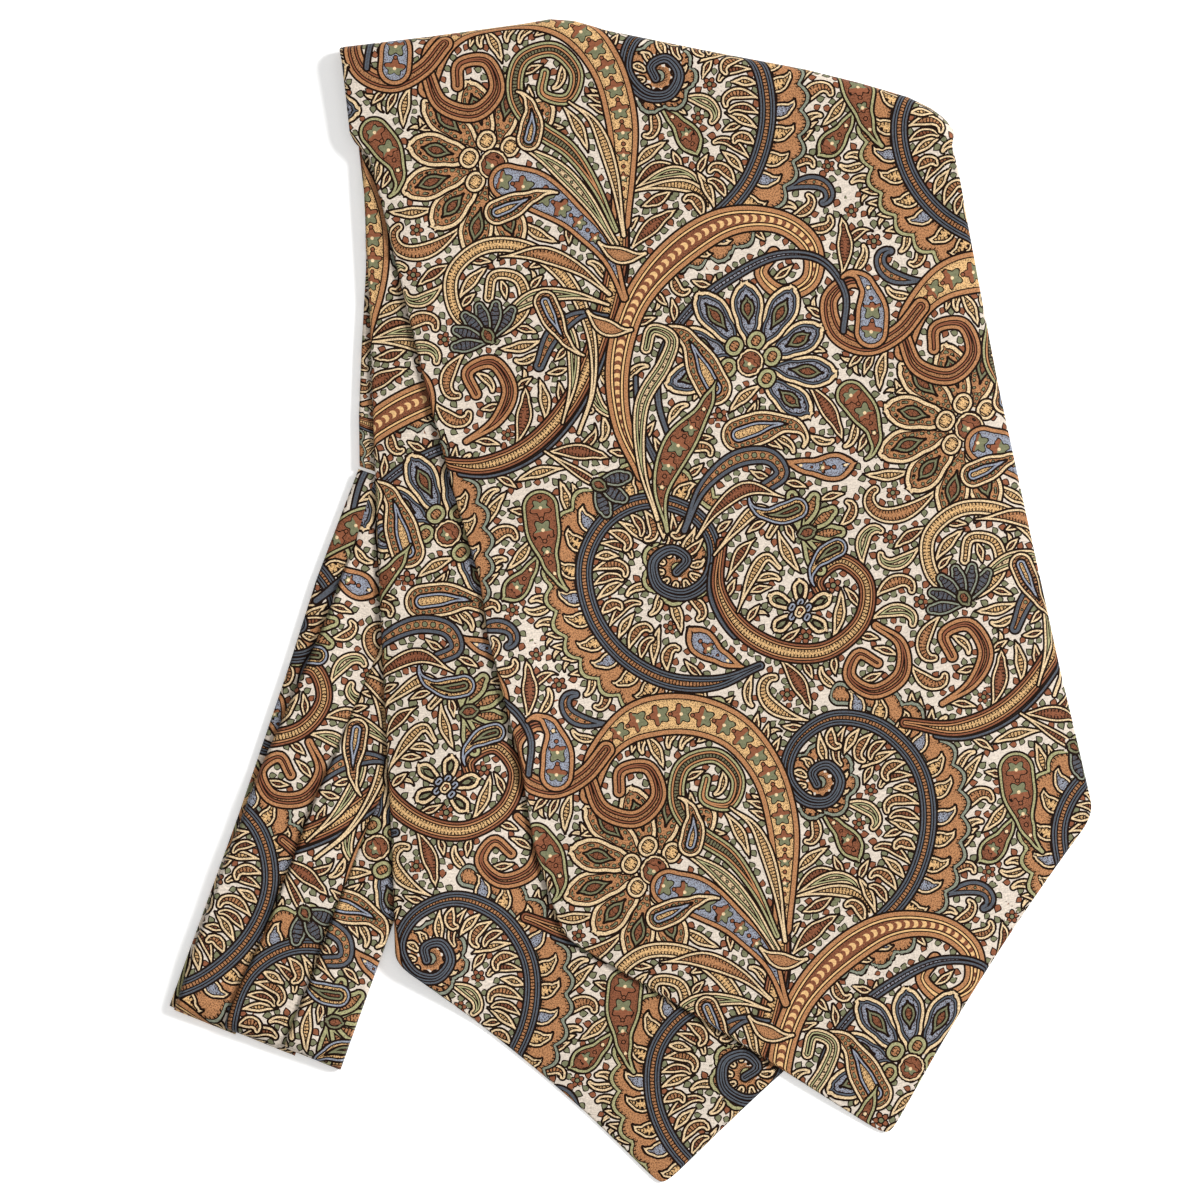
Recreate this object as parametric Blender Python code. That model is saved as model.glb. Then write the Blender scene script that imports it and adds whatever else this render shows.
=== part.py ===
"""A silk cravat, folded in half at the middle of its neckband and laid flat.

Both halves run up from the fold at the lower left, turn over at the top and come back
down, so that one wide pointed blade lies on the other. The floor is z = 0, +Z is up and
+Y runs from the blades' tips to the fold at the top. The origin is under the middle.

Sizes are in millimetres and become metres when the meshes are made.
"""

import bmesh
import bpy
import numpy as np

MM = 0.001

# --- The cloth -------------------------------------------------------------------
BLADE_WALL = 1.4          # a blade's two silks with their turned edges
BAND_WALL = 2.0           # the pleated neckband, pressed, under its other half
PANEL_WALL = 1.2          # the lowest pleat panel of the upper half
PLEAT_STEP = 0.6          # each further panel lies this much higher
LOOSE_GAP = 0.45          # air between a blade and what it lies on
SEAM_GAP = 0.3            # between pieces that meet
OVERHANG = 3.0            # a blade stays level this far past the edge of what it lies on
EDGE_ROUND = 0.4          # how far a turned edge swells past its two faces
LAYER_GROOVE = 1.2        # depth of the groove between two layers' edges
DRAPE_RUN = 40.0          # a layer takes this far to come down to the floor
STACK_TOP = BAND_WALL + SEAM_GAP + PANEL_WALL

# --- Where each stretch lies: (x, y, degrees that its top leans left) -------------
FRONT_BLADE = (76.2, -157.5, 12.9)
UNDER_BLADE = (9.4, -172.3, 1.0)
NECKBAND = (-135.9, -119.8, -19.25)

# --- Outlines ----------------------------------------------------------------------
SHOULDER_SOFTNESS = 5.0   # how far round a blade's shoulder the corner is taken
SHOULDER_RUN = 10.0       # and how far above the shoulder it still shows
TIP_RADIUS = 2.5
BLADE_TOP = 345.0         # a blade's length from its point to the fold, at most

# A blade's edges, its shoulders first: (up from its point, left, right)
FRONT_EDGES = (
    (80.0, -81.0, 80.6),
    (105.0, -83.3, 80.6),
    (128.0, -81.6, 80.4),
    (165.0, -82.6, 81.1),
    (180.0, -81.2, 81.4),
    (203.0, -82.9, 81.9),
    (235.0, -84.1, 82.8),
    (285.0, -85.4, 84.6),
    (350.0, -86.3, 86.0),
)
UNDER_EDGES = (
    (68.0, -77.8, 78.0),
    (100.0, -78.2, 79.5),
    (165.0, -80.3, 81.0),
    (225.0, -81.6, 82.0),
    (260.0, -82.0, 83.0),
    (345.0, -84.8, 85.0),
)
# How much the edges from point to shoulder are hollowed: (left, right)
FRONT_HOLLOW = (0.07, 0.17)
UNDER_HOLLOW = (0.23, 0.14)

# The fold at the top, from left to right, as seen from above: (x, y)
TOP_FOLD = (
    (-90.0, 163.0),
    (-60.0, 166.6),
    (-32.0, 170.4),
    (-24.0, 171.8),
    (-18.0, 171.2),
    (-9.0, 168.5),
    (20.0, 162.6),
    (50.0, 156.9),
    (66.0, 152.9),
    (80.0, 148.8),
    (87.0, 145.4),
    (91.0, 142.4),
    (94.0, 138.6),
    (96.5, 129.0),
)
CREST_X = -18.0           # the fold changes direction here
CREST_RUN = 12.0
LEFT_FOLD_SLOPE = 0.2     # rise per millimetre left of the crest
RIGHT_FOLD_SLOPE = -0.21

FOLD_OUTER_RADIUS = 4.5   # of the front blade where it turns over
FOLD_SLACK = 1.0          # the blade inside turns over this much sooner
FOLD_LOFT_RUN = 38.0      # the blades start to rise this far before the fold
RETURN_RUN = 12.0         # how far a turned end reaches back under the stack

# The neckband's sides: (up, left, right)
BAND_EDGES = (
    (0.0, -0.5, 53.6),
    (60.0, 0.2, 54.3),
    (105.0, -0.2, 54.3),
    (133.0, -1.0, 54.0),
    (168.0, 0.0, 53.6),
)
BAND_FOLD = (-1.0, -0.05)  # how far up the fold lies at the left, and its change per millimetre
BAND_TOP = 168.0          # where the pleats are let out and the blades begin
BAND_RETURN = 14.0
BAND_TURN = 4.0           # the upper half starts to turn down this far above the fold
PLEAT_EDGE = 0.25         # half the width of a pleat's pressed edge
PLEAT_FADE = (132.0, 168.0)
PLEAT_COVER_RUN = 16.0    # a blade on the pleats bridges this far beside each one

# The three pleat edges across the neckband: (up, first, second, third)
PLEAT_EDGES = (
    (-6.0, 0.9, 16.1, 35.2),
    (30.0, 0.9, 18.6, 36.2),
    (65.0, 1.0, 19.8, 37.4),
    (110.0, 4.8, 22.4, 39.5),
    (150.0, 6.0, 25.5, 42.0),
    (180.0, 5.5, 28.0, 44.5),
)

# The hidden back stretches between neckband and top fold: (left x, left y, right x, right y)
BACK_STRETCH = (
    (-80.2, 39.6, -29.6, 22.0),
    (-80.4, 55.0, -14.0, 45.0),
    (-79.6, 75.0, 8.0, 67.0),
    (-78.3, 98.0, 36.0, 90.0),
    (-78.6, 118.0, 62.0, 108.0),
    (-81.8, 145.5, 84.0, 126.5),
)

# --- How finely each piece is built -------------------------------------------------
BLADE_COLUMNS = 21
EDGE_CROWDING = 0.6       # 0 spaces a blade's columns evenly, 1 crowds them to its edges
TIP_ROWS = 9
BODY_ROWS = 21
ROLL_ROWS = 7
RETURN_ROWS = 2
BAND_ROWS = 17
STACK_ROWS = 12
STACK_COLUMNS = 13

SILKS = {
    "front_blade": (0.70, 0.60, 0.47),
    "under_blade": (0.66, 0.55, 0.42),
    "neckband_upper": (0.55, 0.42, 0.30),
    "neckband_lower": (0.48, 0.38, 0.28),
    "folded_layers": (0.60, 0.52, 0.42),
}


def smooth(share):
    """0 to 1 with level ends."""
    share = np.clip(share, 0.0, 1.0)
    return share * share * (3.0 - 2.0 * share)


def mix(low, high, share):
    return low + (high - low) * share


def column(table, index):
    return np.array([row[index] for row in table])


def read(table, at, index):
    """One column of a table whose first column rises, read between its rows."""
    return np.interp(at, column(table, 0), column(table, index))


def place(stretch, across, up):
    """A point of a stretch of cloth, from its own directions to x and y."""
    x, y, lean = stretch
    turn = np.radians(lean)
    return (
        x + across * np.cos(turn) - up * np.sin(turn),
        y + across * np.sin(turn) + up * np.cos(turn),
    )


def locate(stretch, x, y):
    """The reverse of place: across and up for x and y."""
    turn = np.radians(stretch[2])
    dx, dy = x - stretch[0], y - stretch[1]
    return dx * np.cos(turn) + dy * np.sin(turn), dy * np.cos(turn) - dx * np.sin(turn)


def outside(x, y, corners):
    """Distance past a closed outline: 0 inside it and on it."""
    starts = np.array(corners, float)
    runs = np.roll(starts, -1, axis=0) - starts
    points = np.stack([np.ravel(x), np.ravel(y)], axis=1)
    nearest = np.full(len(points), np.inf)
    crossings = np.zeros(len(points), int)
    for start, run in zip(starts, runs):
        offset = points - start
        share = np.clip(offset @ run / max(run @ run, 1e-12), 0.0, 1.0)
        nearest = np.minimum(nearest, np.linalg.norm(offset - share[:, None] * run, axis=1))
        spans = (start[1] > points[:, 1]) != (start[1] + run[1] > points[:, 1])
        level = (points[:, 1] - start[1]) / (run[1] if run[1] else 1e-12)
        crossings += spans & (points[:, 0] < start[0] + level * run[0])
    return np.where(crossings % 2 == 1, 0.0, nearest).reshape(np.shape(x))


def drop(distance):
    """1 on a support, down to 0 a drape's run past its edge."""
    return 1.0 - smooth(distance / DRAPE_RUN)


# --- The fold at the top --------------------------------------------------------------
def fold_normal(x):
    """The outward direction of the fold in plan, turning over the crest."""
    slope = mix(LEFT_FOLD_SLOPE, RIGHT_FOLD_SLOPE, smooth((x - CREST_X) / CREST_RUN + 0.5))
    length = np.hypot(1.0, slope)
    return -slope / length, 1.0 / length


def fold_up(stretch, across):
    """How far up a stretch its lines meet the top fold, found by stepping to it."""
    up = np.full(np.shape(across), BLADE_TOP)
    for _ in range(8):
        x, y = place(stretch, across, up)
        up = up + (read(TOP_FOLD, x, 1) - y)
    return up


def fold_distance(x, y):
    """How far below the top fold, as seen from above."""
    return np.maximum(read(TOP_FOLD, x, 1) - y, 0.0)


# --- What each layer lies on -------------------------------------------------------------
def pleat_steps(across, up, run, lead):
    """The height that the pleats add over the lowest panel."""
    fade = 1.0 - smooth((up - PLEAT_FADE[0]) / (PLEAT_FADE[1] - PLEAT_FADE[0]))
    height = np.zeros(np.shape(across))
    for pleat in (1, 2, 3):
        edge = read(PLEAT_EDGES, up, pleat)
        height = height + smooth((across - edge + lead) / run)
    return PLEAT_STEP * height * fade


def stack_outline():
    """The neckband and the hidden back stretches together, seen from above."""
    left = [(row[0], row[1]) for row in BACK_STRETCH]
    right = [(row[2], row[3]) for row in reversed(BACK_STRETCH)]
    band = [place(NECKBAND, across, -3.0) for across in (BAND_EDGES[0][2], BAND_EDGES[0][1])]
    under_fold = [(x, y - FOLD_OUTER_RADIUS) for x, y in TOP_FOLD[1:-4]]
    return band + left + under_fold + right


def under_blade_floor(x, y):
    """Height of the lower face of the blade that lies underneath."""
    past = drop(outside(x, y, stack_outline()))
    across, up = locate(NECKBAND, x, y)
    pleats = pleat_steps(across, up, PLEAT_COVER_RUN, PLEAT_COVER_RUN)
    resting = (STACK_TOP + LOOSE_GAP + pleats) * past
    folded = 2 * FOLD_OUTER_RADIUS - 2 * BLADE_WALL - LOOSE_GAP
    return mix(folded, resting, smooth(fold_distance(x, y) / FOLD_LOFT_RUN))


def front_blade_floor(x, y):
    """Height of the lower face of the blade on top."""
    step = BLADE_WALL + LOOSE_GAP
    outline = blade_outline(UNDER_BLADE, UNDER_EDGES, UNDER_HOLLOW)
    past = drop(np.maximum(outside(x, y, outline) - OVERHANG, 0.0))
    near_fold = 1.0 - smooth(fold_distance(x, y) / FOLD_LOFT_RUN)
    return under_blade_floor(x, y) + step * np.maximum(past, near_fold)


# --- Blades ----------------------------------------------------------------------------
def blade_sides(edges, hollow, up):
    """Left and right of a blade at a height up from its point, tip and shoulders rounded."""
    shoulder = edges[0][0]
    shield = np.sqrt(up * up + 2.0 * TIP_RADIUS * up) / np.hypot(shoulder, TIP_RADIUS)
    sides = []
    for index in (1, 2):
        width = np.abs(read(edges, up, index))
        hollowed = 1.0 - hollow[index - 1] * np.maximum(1.0 - up / shoulder, 0.0)
        reach = shield * abs(edges[0][index]) * hollowed
        past = np.clip(0.5 + (reach - width) / (2 * SHOULDER_SOFTNESS), 0.0, 1.0)
        blend = mix(reach, width, past) - SHOULDER_SOFTNESS * past * (1.0 - past)
        sides.append(np.maximum(blend, 0.0))
    return -sides[0], sides[1]


def blade_outline(stretch, edges, hollow):
    """A blade's outline from above, as a closed list of corners."""
    rounded = np.linspace(0.2, edges[0][0] + SHOULDER_RUN, 12)
    ups = np.concatenate([rounded, np.linspace(rounded[-1], BLADE_TOP, 9)[1:]])
    left, right = blade_sides(edges, hollow, ups)
    sides = [place(stretch, left, ups), place(stretch, right[::-1], ups[::-1])]
    return [point for x, y in sides for point in zip(x, y)]


def blade_front(stretch, edges, hollow, surface, inset):
    """Rows of a blade from its point up to where it starts to turn over."""
    even = np.linspace(0.0, 1.0, BLADE_COLUMNS)
    share = mix(even, 0.5 - 0.5 * np.cos(np.pi * even), EDGE_CROWDING)
    shoulder = edges[0][0] + SHOULDER_RUN
    rows = []
    for up in shoulder * smooth(np.linspace(0.05, 1.0, TIP_ROWS)) ** 0.9:
        left, right = blade_sides(edges, hollow, np.full(BLADE_COLUMNS, up))
        across = mix(left + EDGE_ROUND, right - EDGE_ROUND, share)
        rows.append(place(stretch, across, np.full(BLADE_COLUMNS, up)))
    for level in np.linspace(0.0, 1.0, BODY_ROWS)[1:]:
        up = np.full(BLADE_COLUMNS, mix(shoulder, BLADE_TOP, level))
        for _ in range(4):
            left, right = blade_sides(edges, hollow, up)
            across = mix(left + EDGE_ROUND, right - EDGE_ROUND, share)
            up = mix(shoulder, fold_up(stretch, across) - inset, level)
        rows.append(place(stretch, across, up))
    x, y = (np.array([row[axis] for row in rows]) for axis in (0, 1))
    low = surface(x, y)
    return np.stack([x, y, low + BLADE_WALL], axis=-1), np.stack([x, y, low], axis=-1)


def turned_end(line, normal, radius, middle, wall):
    """A layer turning down round a fold, then reaching back under it."""
    faces = []
    for face_radius in (radius, radius - wall):
        rows = []
        for turn in np.linspace(0.5 * np.pi, -0.5 * np.pi, ROLL_ROWS)[1:]:
            out = face_radius * np.cos(turn)
            height = np.full(line[0].shape, middle + face_radius * np.sin(turn))
            rows.append((line[0] + normal[0] * out, line[1] + normal[1] * out, height))
        for back in np.linspace(0.0, RETURN_RUN, RETURN_ROWS + 1)[1:]:
            rows.append((line[0] - normal[0] * back, line[1] - normal[1] * back, height))
        faces.append(np.stack([np.stack(row, axis=-1) for row in rows]))
    return faces


def blade(name, stretch, edges, hollow, surface, radius, slack):
    """One wide blade: point, body, and its turn over the top fold, which stops slack short of it."""
    outer, inner = blade_front(stretch, edges, hollow, surface, FOLD_OUTER_RADIUS + slack)
    line = outer[-1, :, 0], outer[-1, :, 1]
    roll_outer, roll_inner = turned_end(
        line, fold_normal(line[0]), radius, FOLD_OUTER_RADIUS, BLADE_WALL
    )
    # The last row before the turn takes the turn's own height.
    outer[-1, :, 2] = FOLD_OUTER_RADIUS + radius
    inner[-1, :, 2] = FOLD_OUTER_RADIUS + radius - BLADE_WALL
    return wall(name, np.concatenate([outer, roll_outer]), np.concatenate([inner, roll_inner]))


# --- Neckband -----------------------------------------------------------------------------
def band_columns(up):
    """Across the neckband: both sides of each pleat edge and the middle of each panel."""
    left, right = read(BAND_EDGES, up, 1) + EDGE_ROUND, read(BAND_EDGES, up, 2) - EDGE_ROUND
    stops = [left] + [read(PLEAT_EDGES, up, pleat) for pleat in (1, 2, 3)] + [right]
    columns = [left]
    for before, after in zip(stops[:-1], stops[1:]):
        columns += [mix(before, after, 0.5), after - PLEAT_EDGE, after + PLEAT_EDGE]
    return np.stack(columns[:-2] + [right], axis=-1)


def neckband_upper():
    """The half on top, with its pleats lapped to the left and its turn at the bottom."""
    ups = np.concatenate([np.linspace(BAND_TOP, 2 * BAND_TURN, BAND_ROWS), [BAND_TURN]])
    across = band_columns(ups)
    levels = np.repeat(ups[:, None], across.shape[1], axis=1)
    top = STACK_TOP + pleat_steps(across, levels, 2 * PLEAT_EDGE, PLEAT_EDGE)
    floor = BAND_WALL + SEAM_GAP
    outer = [(across[i], levels[i], top[i]) for i in range(len(ups))]
    inner = [(across[i], levels[i], np.full(across.shape[1], floor)) for i in range(len(ups))]
    radius = top[-1] / 2
    reach = levels[-1] - BAND_FOLD[0] - BAND_FOLD[1] * across[-1] - EDGE_ROUND
    for turn in np.linspace(0.5 * np.pi, -0.5 * np.pi, ROLL_ROWS)[1:]:
        bend = levels[-1] - reach * np.cos(turn)
        outer.append((across[-1], bend, radius * (1 + np.sin(turn))))
        height = floor - 0.5 * SEAM_GAP * (1 - np.sin(turn))
        inner.append((across[-1], levels[-1], np.full(across.shape[1], height)))
    for back in np.linspace(levels[-1][0], BAND_RETURN, RETURN_ROWS + 1)[1:]:
        outer.append((across[-1], np.full_like(across[-1], back), np.zeros_like(across[-1])))
        inner.append((across[-1], outer[-1][1], np.full_like(across[-1], BAND_WALL)))
    grids = []
    for rows in (outer, inner):
        grid = np.stack([np.stack(row, axis=-1) for row in rows])
        x, y = place(NECKBAND, grid[..., 0], grid[..., 1])
        grids.append(np.stack([x, y, grid[..., 2]], axis=-1))
    return wall("neckband_upper", *grids)


def neckband_lower():
    """The half underneath, flat on the floor."""
    ups = np.linspace(BAND_RETURN + SEAM_GAP + 2 * EDGE_ROUND, BAND_TOP, 8)
    left, right = read(BAND_EDGES, ups, 1) + EDGE_ROUND, read(BAND_EDGES, ups, 2) - EDGE_ROUND
    across = mix(left[:, None], right[:, None], np.linspace(0.0, 1.0, 5))
    x, y = place(NECKBAND, across, np.repeat(ups[:, None], across.shape[1], axis=1))
    outer = np.stack([x, y, np.full_like(x, BAND_WALL)], axis=-1)
    return wall("neckband_lower", outer, outer * (1.0, 1.0, 0.0))


# --- The hidden stack ------------------------------------------------------------------------
def folded_layers():
    """Both back stretches as one solid, with two rounded layers along its sides."""
    level = np.linspace(0.0, 1.0, STACK_ROWS)
    table_level = np.linspace(0.0, 1.0, len(BACK_STRETCH))
    rails = [np.interp(level, table_level, column(BACK_STRETCH, index)) for index in range(4)]
    share = np.linspace(0.0, 1.0, STACK_COLUMNS)
    x = mix(rails[0][:, None], rails[2][:, None], share)
    y = mix(rails[1][:, None], rails[3][:, None], share)
    reach = FOLD_OUTER_RADIUS + FOLD_SLACK + RETURN_RUN + SEAM_GAP + EDGE_ROUND
    normal = fold_normal(x[-1])
    bent = read(TOP_FOLD, x[-1] + normal[0] * reach, 1) - normal[1] * reach
    y = y + (level[:, None] ** 2) * (bent - y[-1])
    layer = (STACK_TOP - SEAM_GAP) / 2
    # One layer's edge in section, from its lower face to its upper: (out, share of its height)
    edge = ((-EDGE_ROUND, 0.0), (0.0, 0.3), (0.0, 0.7), (-EDGE_ROUND, 1.0))
    profile = []
    for base in (0.0, layer + SEAM_GAP):
        profile += [(out, base + part * layer) for out, part in edge]
    groove = [(-LAYER_GROOVE, layer), (-LAYER_GROOVE, layer + SEAM_GAP)]
    profile = profile[:4] + groove + profile[4:]
    rings = []
    for i in range(STACK_ROWS):
        along = np.array([x[i, -1] - x[i, 0], y[i, -1] - y[i, 0]])
        along = along / np.linalg.norm(along)
        left = [(*(np.array([x[i, 0], y[i, 0]]) - along * out), z) for out, z in profile]
        right = [(*(np.array([x[i, -1], y[i, -1]]) + along * out), z) for out, z in profile]
        top = [(x[i, j], y[i, j], STACK_TOP) for j in range(1, STACK_COLUMNS - 1)]
        under = [(x[i, j], y[i, j], 0.0) for j in range(STACK_COLUMNS - 2, 0, -1)]
        rings.append(left + top + right[::-1] + under)
    return ringed("folded_layers", np.array(rings))


# --- Making meshes -----------------------------------------------------------------------------
def wall(name, outer, inner):
    """A closed wall between two faces given as grids of points, with rounded edges."""
    columns = outer.shape[1]
    middle = (outer + inner) / 2
    right = middle[:, -1] - middle[:, -2]
    left = middle[:, 0] - middle[:, 1]
    rims = []
    for side, edge in ((right, -1), (left, 0)):
        length = np.maximum(np.linalg.norm(side, axis=1, keepdims=True), 1e-6)
        rims.append(middle[:, edge] + side / length * EDGE_ROUND)
    rings = np.concatenate(
        [outer, rims[0][:, None], inner[:, ::-1], rims[1][:, None]], axis=1
    )
    ends = []
    for end, before in ((0, 1), (-1, -2)):
        away = middle[end] - middle[before]
        length = np.maximum(np.linalg.norm(away, axis=1, keepdims=True), 1e-6)
        ends.append(middle[end] + away / length * EDGE_ROUND)
    return ringed(name, rings, ends, columns)


def ringed(name, rings, ends=None, columns=0):
    """One closed body through a row of rings of points, its ends closed."""
    count = rings.shape[1]
    body = bmesh.new()
    verts = [[body.verts.new(point * MM) for point in ring] for ring in rings]
    for low, high in zip(verts[:-1], verts[1:]):
        for k in range(count):
            body.faces.new((low[k], low[(k + 1) % count], high[(k + 1) % count], high[k]))
    for index, ring in ((0, verts[0]), (1, verts[-1])):
        if ends is None:
            body.faces.new(ring)
            continue
        ridge = [body.verts.new(point * MM) for point in ends[index]]
        inner = ring[2 * columns : columns : -1]
        for j in range(columns - 1):
            body.faces.new((ring[j], ring[j + 1], ridge[j + 1], ridge[j]))
            body.faces.new((inner[j], ridge[j], ridge[j + 1], inner[j + 1]))
        for face in (ring, inner):
            body.faces.new((face[0], ridge[0], ring[2 * columns + 1]))
            body.faces.new((face[columns - 1], ring[columns], ridge[-1]))
    bmesh.ops.recalc_face_normals(body, faces=body.faces)
    mesh = bpy.data.meshes.new(name)
    body.to_mesh(mesh)
    body.free()
    mesh.shade_smooth()
    mesh.set_sharp_from_angle(angle=np.radians(50))
    mesh.materials.append(silk(name))
    piece = bpy.data.objects.new(name, mesh)
    bpy.context.scene.collection.objects.link(piece)
    return piece


def silk(name):
    """Printed silk in the piece's overall colour, before its pattern."""
    material = bpy.data.materials.new(name + "_silk")
    material.use_nodes = True
    shader = material.node_tree.nodes["Principled BSDF"]
    shader.inputs["Base Color"].default_value = (*SILKS[name], 1.0)
    shader.inputs["Roughness"].default_value = 0.45
    shader.inputs["Metallic"].default_value = 0.0
    shader.inputs["Sheen Weight"].default_value = 0.3
    return material


def main():
    for leftover in list(bpy.data.objects):
        bpy.data.objects.remove(leftover, do_unlink=True)
    under_radius = FOLD_OUTER_RADIUS - BLADE_WALL - LOOSE_GAP
    front = FRONT_BLADE, FRONT_EDGES, FRONT_HOLLOW
    under = UNDER_BLADE, UNDER_EDGES, UNDER_HOLLOW
    blade("front_blade", *front, front_blade_floor, FOLD_OUTER_RADIUS, 0.0)
    blade("under_blade", *under, under_blade_floor, under_radius, FOLD_SLACK)
    neckband_upper()
    neckband_lower()
    folded_layers()


main()
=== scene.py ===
# %% [markdown]
# # A silk cravat, folded once and laid flat
#
# A cravat is one long band of printed silk. Its middle is pleated into a narrow neckband
# and both ends open into wide pointed blades. Here it is folded in half at the middle of the
# neckband, so both halves run up from the lower left, turn over at the top and come back
# down, one blade on the other.
#
# The lesson has three parts: the cloth's shapes, as surfaces worked out with numpy; the
# paisley, drawn with pen strokes that are measured on the mesh; and the silk, as shader nodes
# that colour those strokes. Sizes are in millimetres until a mesh is made.

# %% Load the frame
from math import pi

import bpy
import numpy as np
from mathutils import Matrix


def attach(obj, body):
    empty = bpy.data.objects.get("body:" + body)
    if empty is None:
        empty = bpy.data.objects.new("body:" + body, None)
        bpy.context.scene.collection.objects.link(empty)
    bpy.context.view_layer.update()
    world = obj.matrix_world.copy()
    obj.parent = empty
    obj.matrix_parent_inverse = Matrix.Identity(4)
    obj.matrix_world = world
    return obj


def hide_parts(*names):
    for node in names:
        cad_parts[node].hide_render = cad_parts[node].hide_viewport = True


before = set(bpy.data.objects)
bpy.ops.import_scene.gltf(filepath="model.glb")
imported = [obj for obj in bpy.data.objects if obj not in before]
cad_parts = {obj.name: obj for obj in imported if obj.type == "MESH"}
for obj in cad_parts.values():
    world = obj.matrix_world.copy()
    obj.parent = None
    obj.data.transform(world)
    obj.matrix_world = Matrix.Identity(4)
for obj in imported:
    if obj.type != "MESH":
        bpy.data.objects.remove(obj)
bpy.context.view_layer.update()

MM = 0.001

# %% [markdown]
# ## Camera, light and floor
#
# The cravat lies on a pale table and is seen from straight above. A long lens far away
# keeps the thick fold at the top the same scale as the thin point. Two lamps light it: a wide
# soft one overhead, and a smaller one from the right, which draws a shadow along the left
# edge of every pleat and of the blade on top. The table's surface has a painted glow, light
# with no lamp behind it, so that the cravat's own shadow on it stays pale.

# %% Camera
FRAME_WIDTH = 354.84      # how wide the view is at the height of the cloth
VIEW_CENTRE = (-9.02, -0.15)
CAMERA_HEIGHT = 2200.0
CLOTH_HEIGHT = 5.0        # the print lies about this high
SENSOR_WIDTH = 36.0
FARTHEST = 20.0           # metres

camera_data = bpy.data.cameras.new("camera")
camera_data.sensor_fit = "HORIZONTAL"
camera_data.sensor_width = SENSOR_WIDTH
camera_data.lens = SENSOR_WIDTH * (CAMERA_HEIGHT - CLOTH_HEIGHT) / FRAME_WIDTH
camera_data.clip_end = FARTHEST
camera = bpy.data.objects.new("camera", camera_data)
camera.location = (VIEW_CENTRE[0] * MM, VIEW_CENTRE[1] * MM, CAMERA_HEIGHT * MM)
bpy.context.scene.collection.objects.link(camera)
bpy.context.scene.camera = camera
print("lens", round(camera_data.lens, 1), "mm")

# %% Lamps and sky
bpy.context.scene.view_settings.view_transform = "Standard"


def soft_lamp(name, at, size, power):
    """A square lamp, its place and size in metres and its power in watts, turned towards the
    middle of the table."""
    data = bpy.data.lights.new(name, "AREA")
    data.shape, data.size, data.energy = "SQUARE", size, power
    lamp = bpy.data.objects.new(name, data)
    lamp.location = at
    way = np.zeros(3) - np.array(at)
    lamp.rotation_euler = (np.arccos(-way[2] / np.linalg.norm(way)), 0.0,
                           np.arctan2(-way[0], way[1]))
    bpy.context.scene.collection.objects.link(lamp)


soft_lamp("overhead", (0.0, 0.0, 2.0), 2.0, 11.0)
soft_lamp("key", (2.3, 0.9, 2.3), 0.9, 146.0)

world = bpy.data.worlds.new("room")
bpy.context.scene.world = world
world.use_nodes = True
room_light = world.node_tree.nodes["Background"].inputs
room_light["Color"].default_value = (1.0, 0.99, 0.97, 1.0)
room_light["Strength"].default_value = 0.25

# %% Table
GRAIN_SCALE, GRAIN_SPREAD = 60.0, 0.04
TABLE_REACH = 3.0         # metres from the middle to each side


def painted_glow_material(name, colour, roughness, glow):
    """A matte finish with a trace of unevenness in its roughness, and a painted glow: its own
    emission, with no lamp below, pales the shadows cast on it.
    """
    material = bpy.data.materials.new(name)
    material.use_nodes = True
    tree = material.node_tree
    shader = tree.nodes["Principled BSDF"]
    shader.inputs["Base Color"].default_value = (*colour, 1.0)
    # Painted glow: the table emits light though it is no lamp, so the cravat's shadow on it stays
    # pale.
    shader.inputs["Emission Color"].default_value = (1.0, 1.0, 1.0, 1.0)
    shader.inputs["Emission Strength"].default_value = glow
    where = tree.nodes.new("ShaderNodeTexCoord")
    grain = tree.nodes.new("ShaderNodeTexNoise")
    grain.inputs["Scale"].default_value = GRAIN_SCALE
    spread = tree.nodes.new("ShaderNodeMapRange")
    spread.inputs["To Min"].default_value = roughness - GRAIN_SPREAD
    spread.inputs["To Max"].default_value = roughness + GRAIN_SPREAD
    tree.links.new(where.outputs["Object"], grain.inputs["Vector"])
    tree.links.new(grain.outputs["Fac"], spread.inputs["Value"])
    tree.links.new(spread.outputs["Result"], shader.inputs["Roughness"])
    return material


table_corners = TABLE_REACH * np.array(((-1, -1, 0), (1, -1, 0), (1, 1, 0), (-1, 1, 0)))
table_mesh = bpy.data.meshes.new("table")
table_mesh.from_pydata(table_corners.tolist(), [], [(0, 1, 2, 3)])
# The last number is the strength of the table's painted glow.
table_mesh.materials.append(painted_glow_material("table_white_painted_glow", (0.92, 0.92, 0.915), 0.85, 0.36))
table = bpy.data.objects.new("table", table_mesh)
bpy.context.scene.collection.objects.link(table)

# %% [markdown]
# ## The cloth's sizes
#
# These repeat the solid model's sizes. A blade is described in its own directions: `across`
# from its centre line and `up` from its point. A stretch of cloth is placed by the x and y of
# its origin and by how many degrees its top leans to the left.

# %% Sizes of the cloth
BLADE_WALL, BAND_WALL, PANEL_WALL, PLEAT_STEP = 1.4, 2.0, 1.2, 0.6
LOOSE_GAP, SEAM_GAP, OVERHANG, DRAPE_RUN = 0.45, 0.3, 3.0, 40.0
STACK_TOP = BAND_WALL + SEAM_GAP + PANEL_WALL

FRONT_BLADE = (76.2, -157.5, 12.9)
UNDER_BLADE = (9.4, -172.3, 1.0)
NECKBAND = (-135.9, -119.8, -19.25)
BLADE_TOP, TIP_RADIUS, SHOULDER_SOFTNESS, SHOULDER_RUN = 345.0, 2.5, 5.0, 10.0

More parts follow.
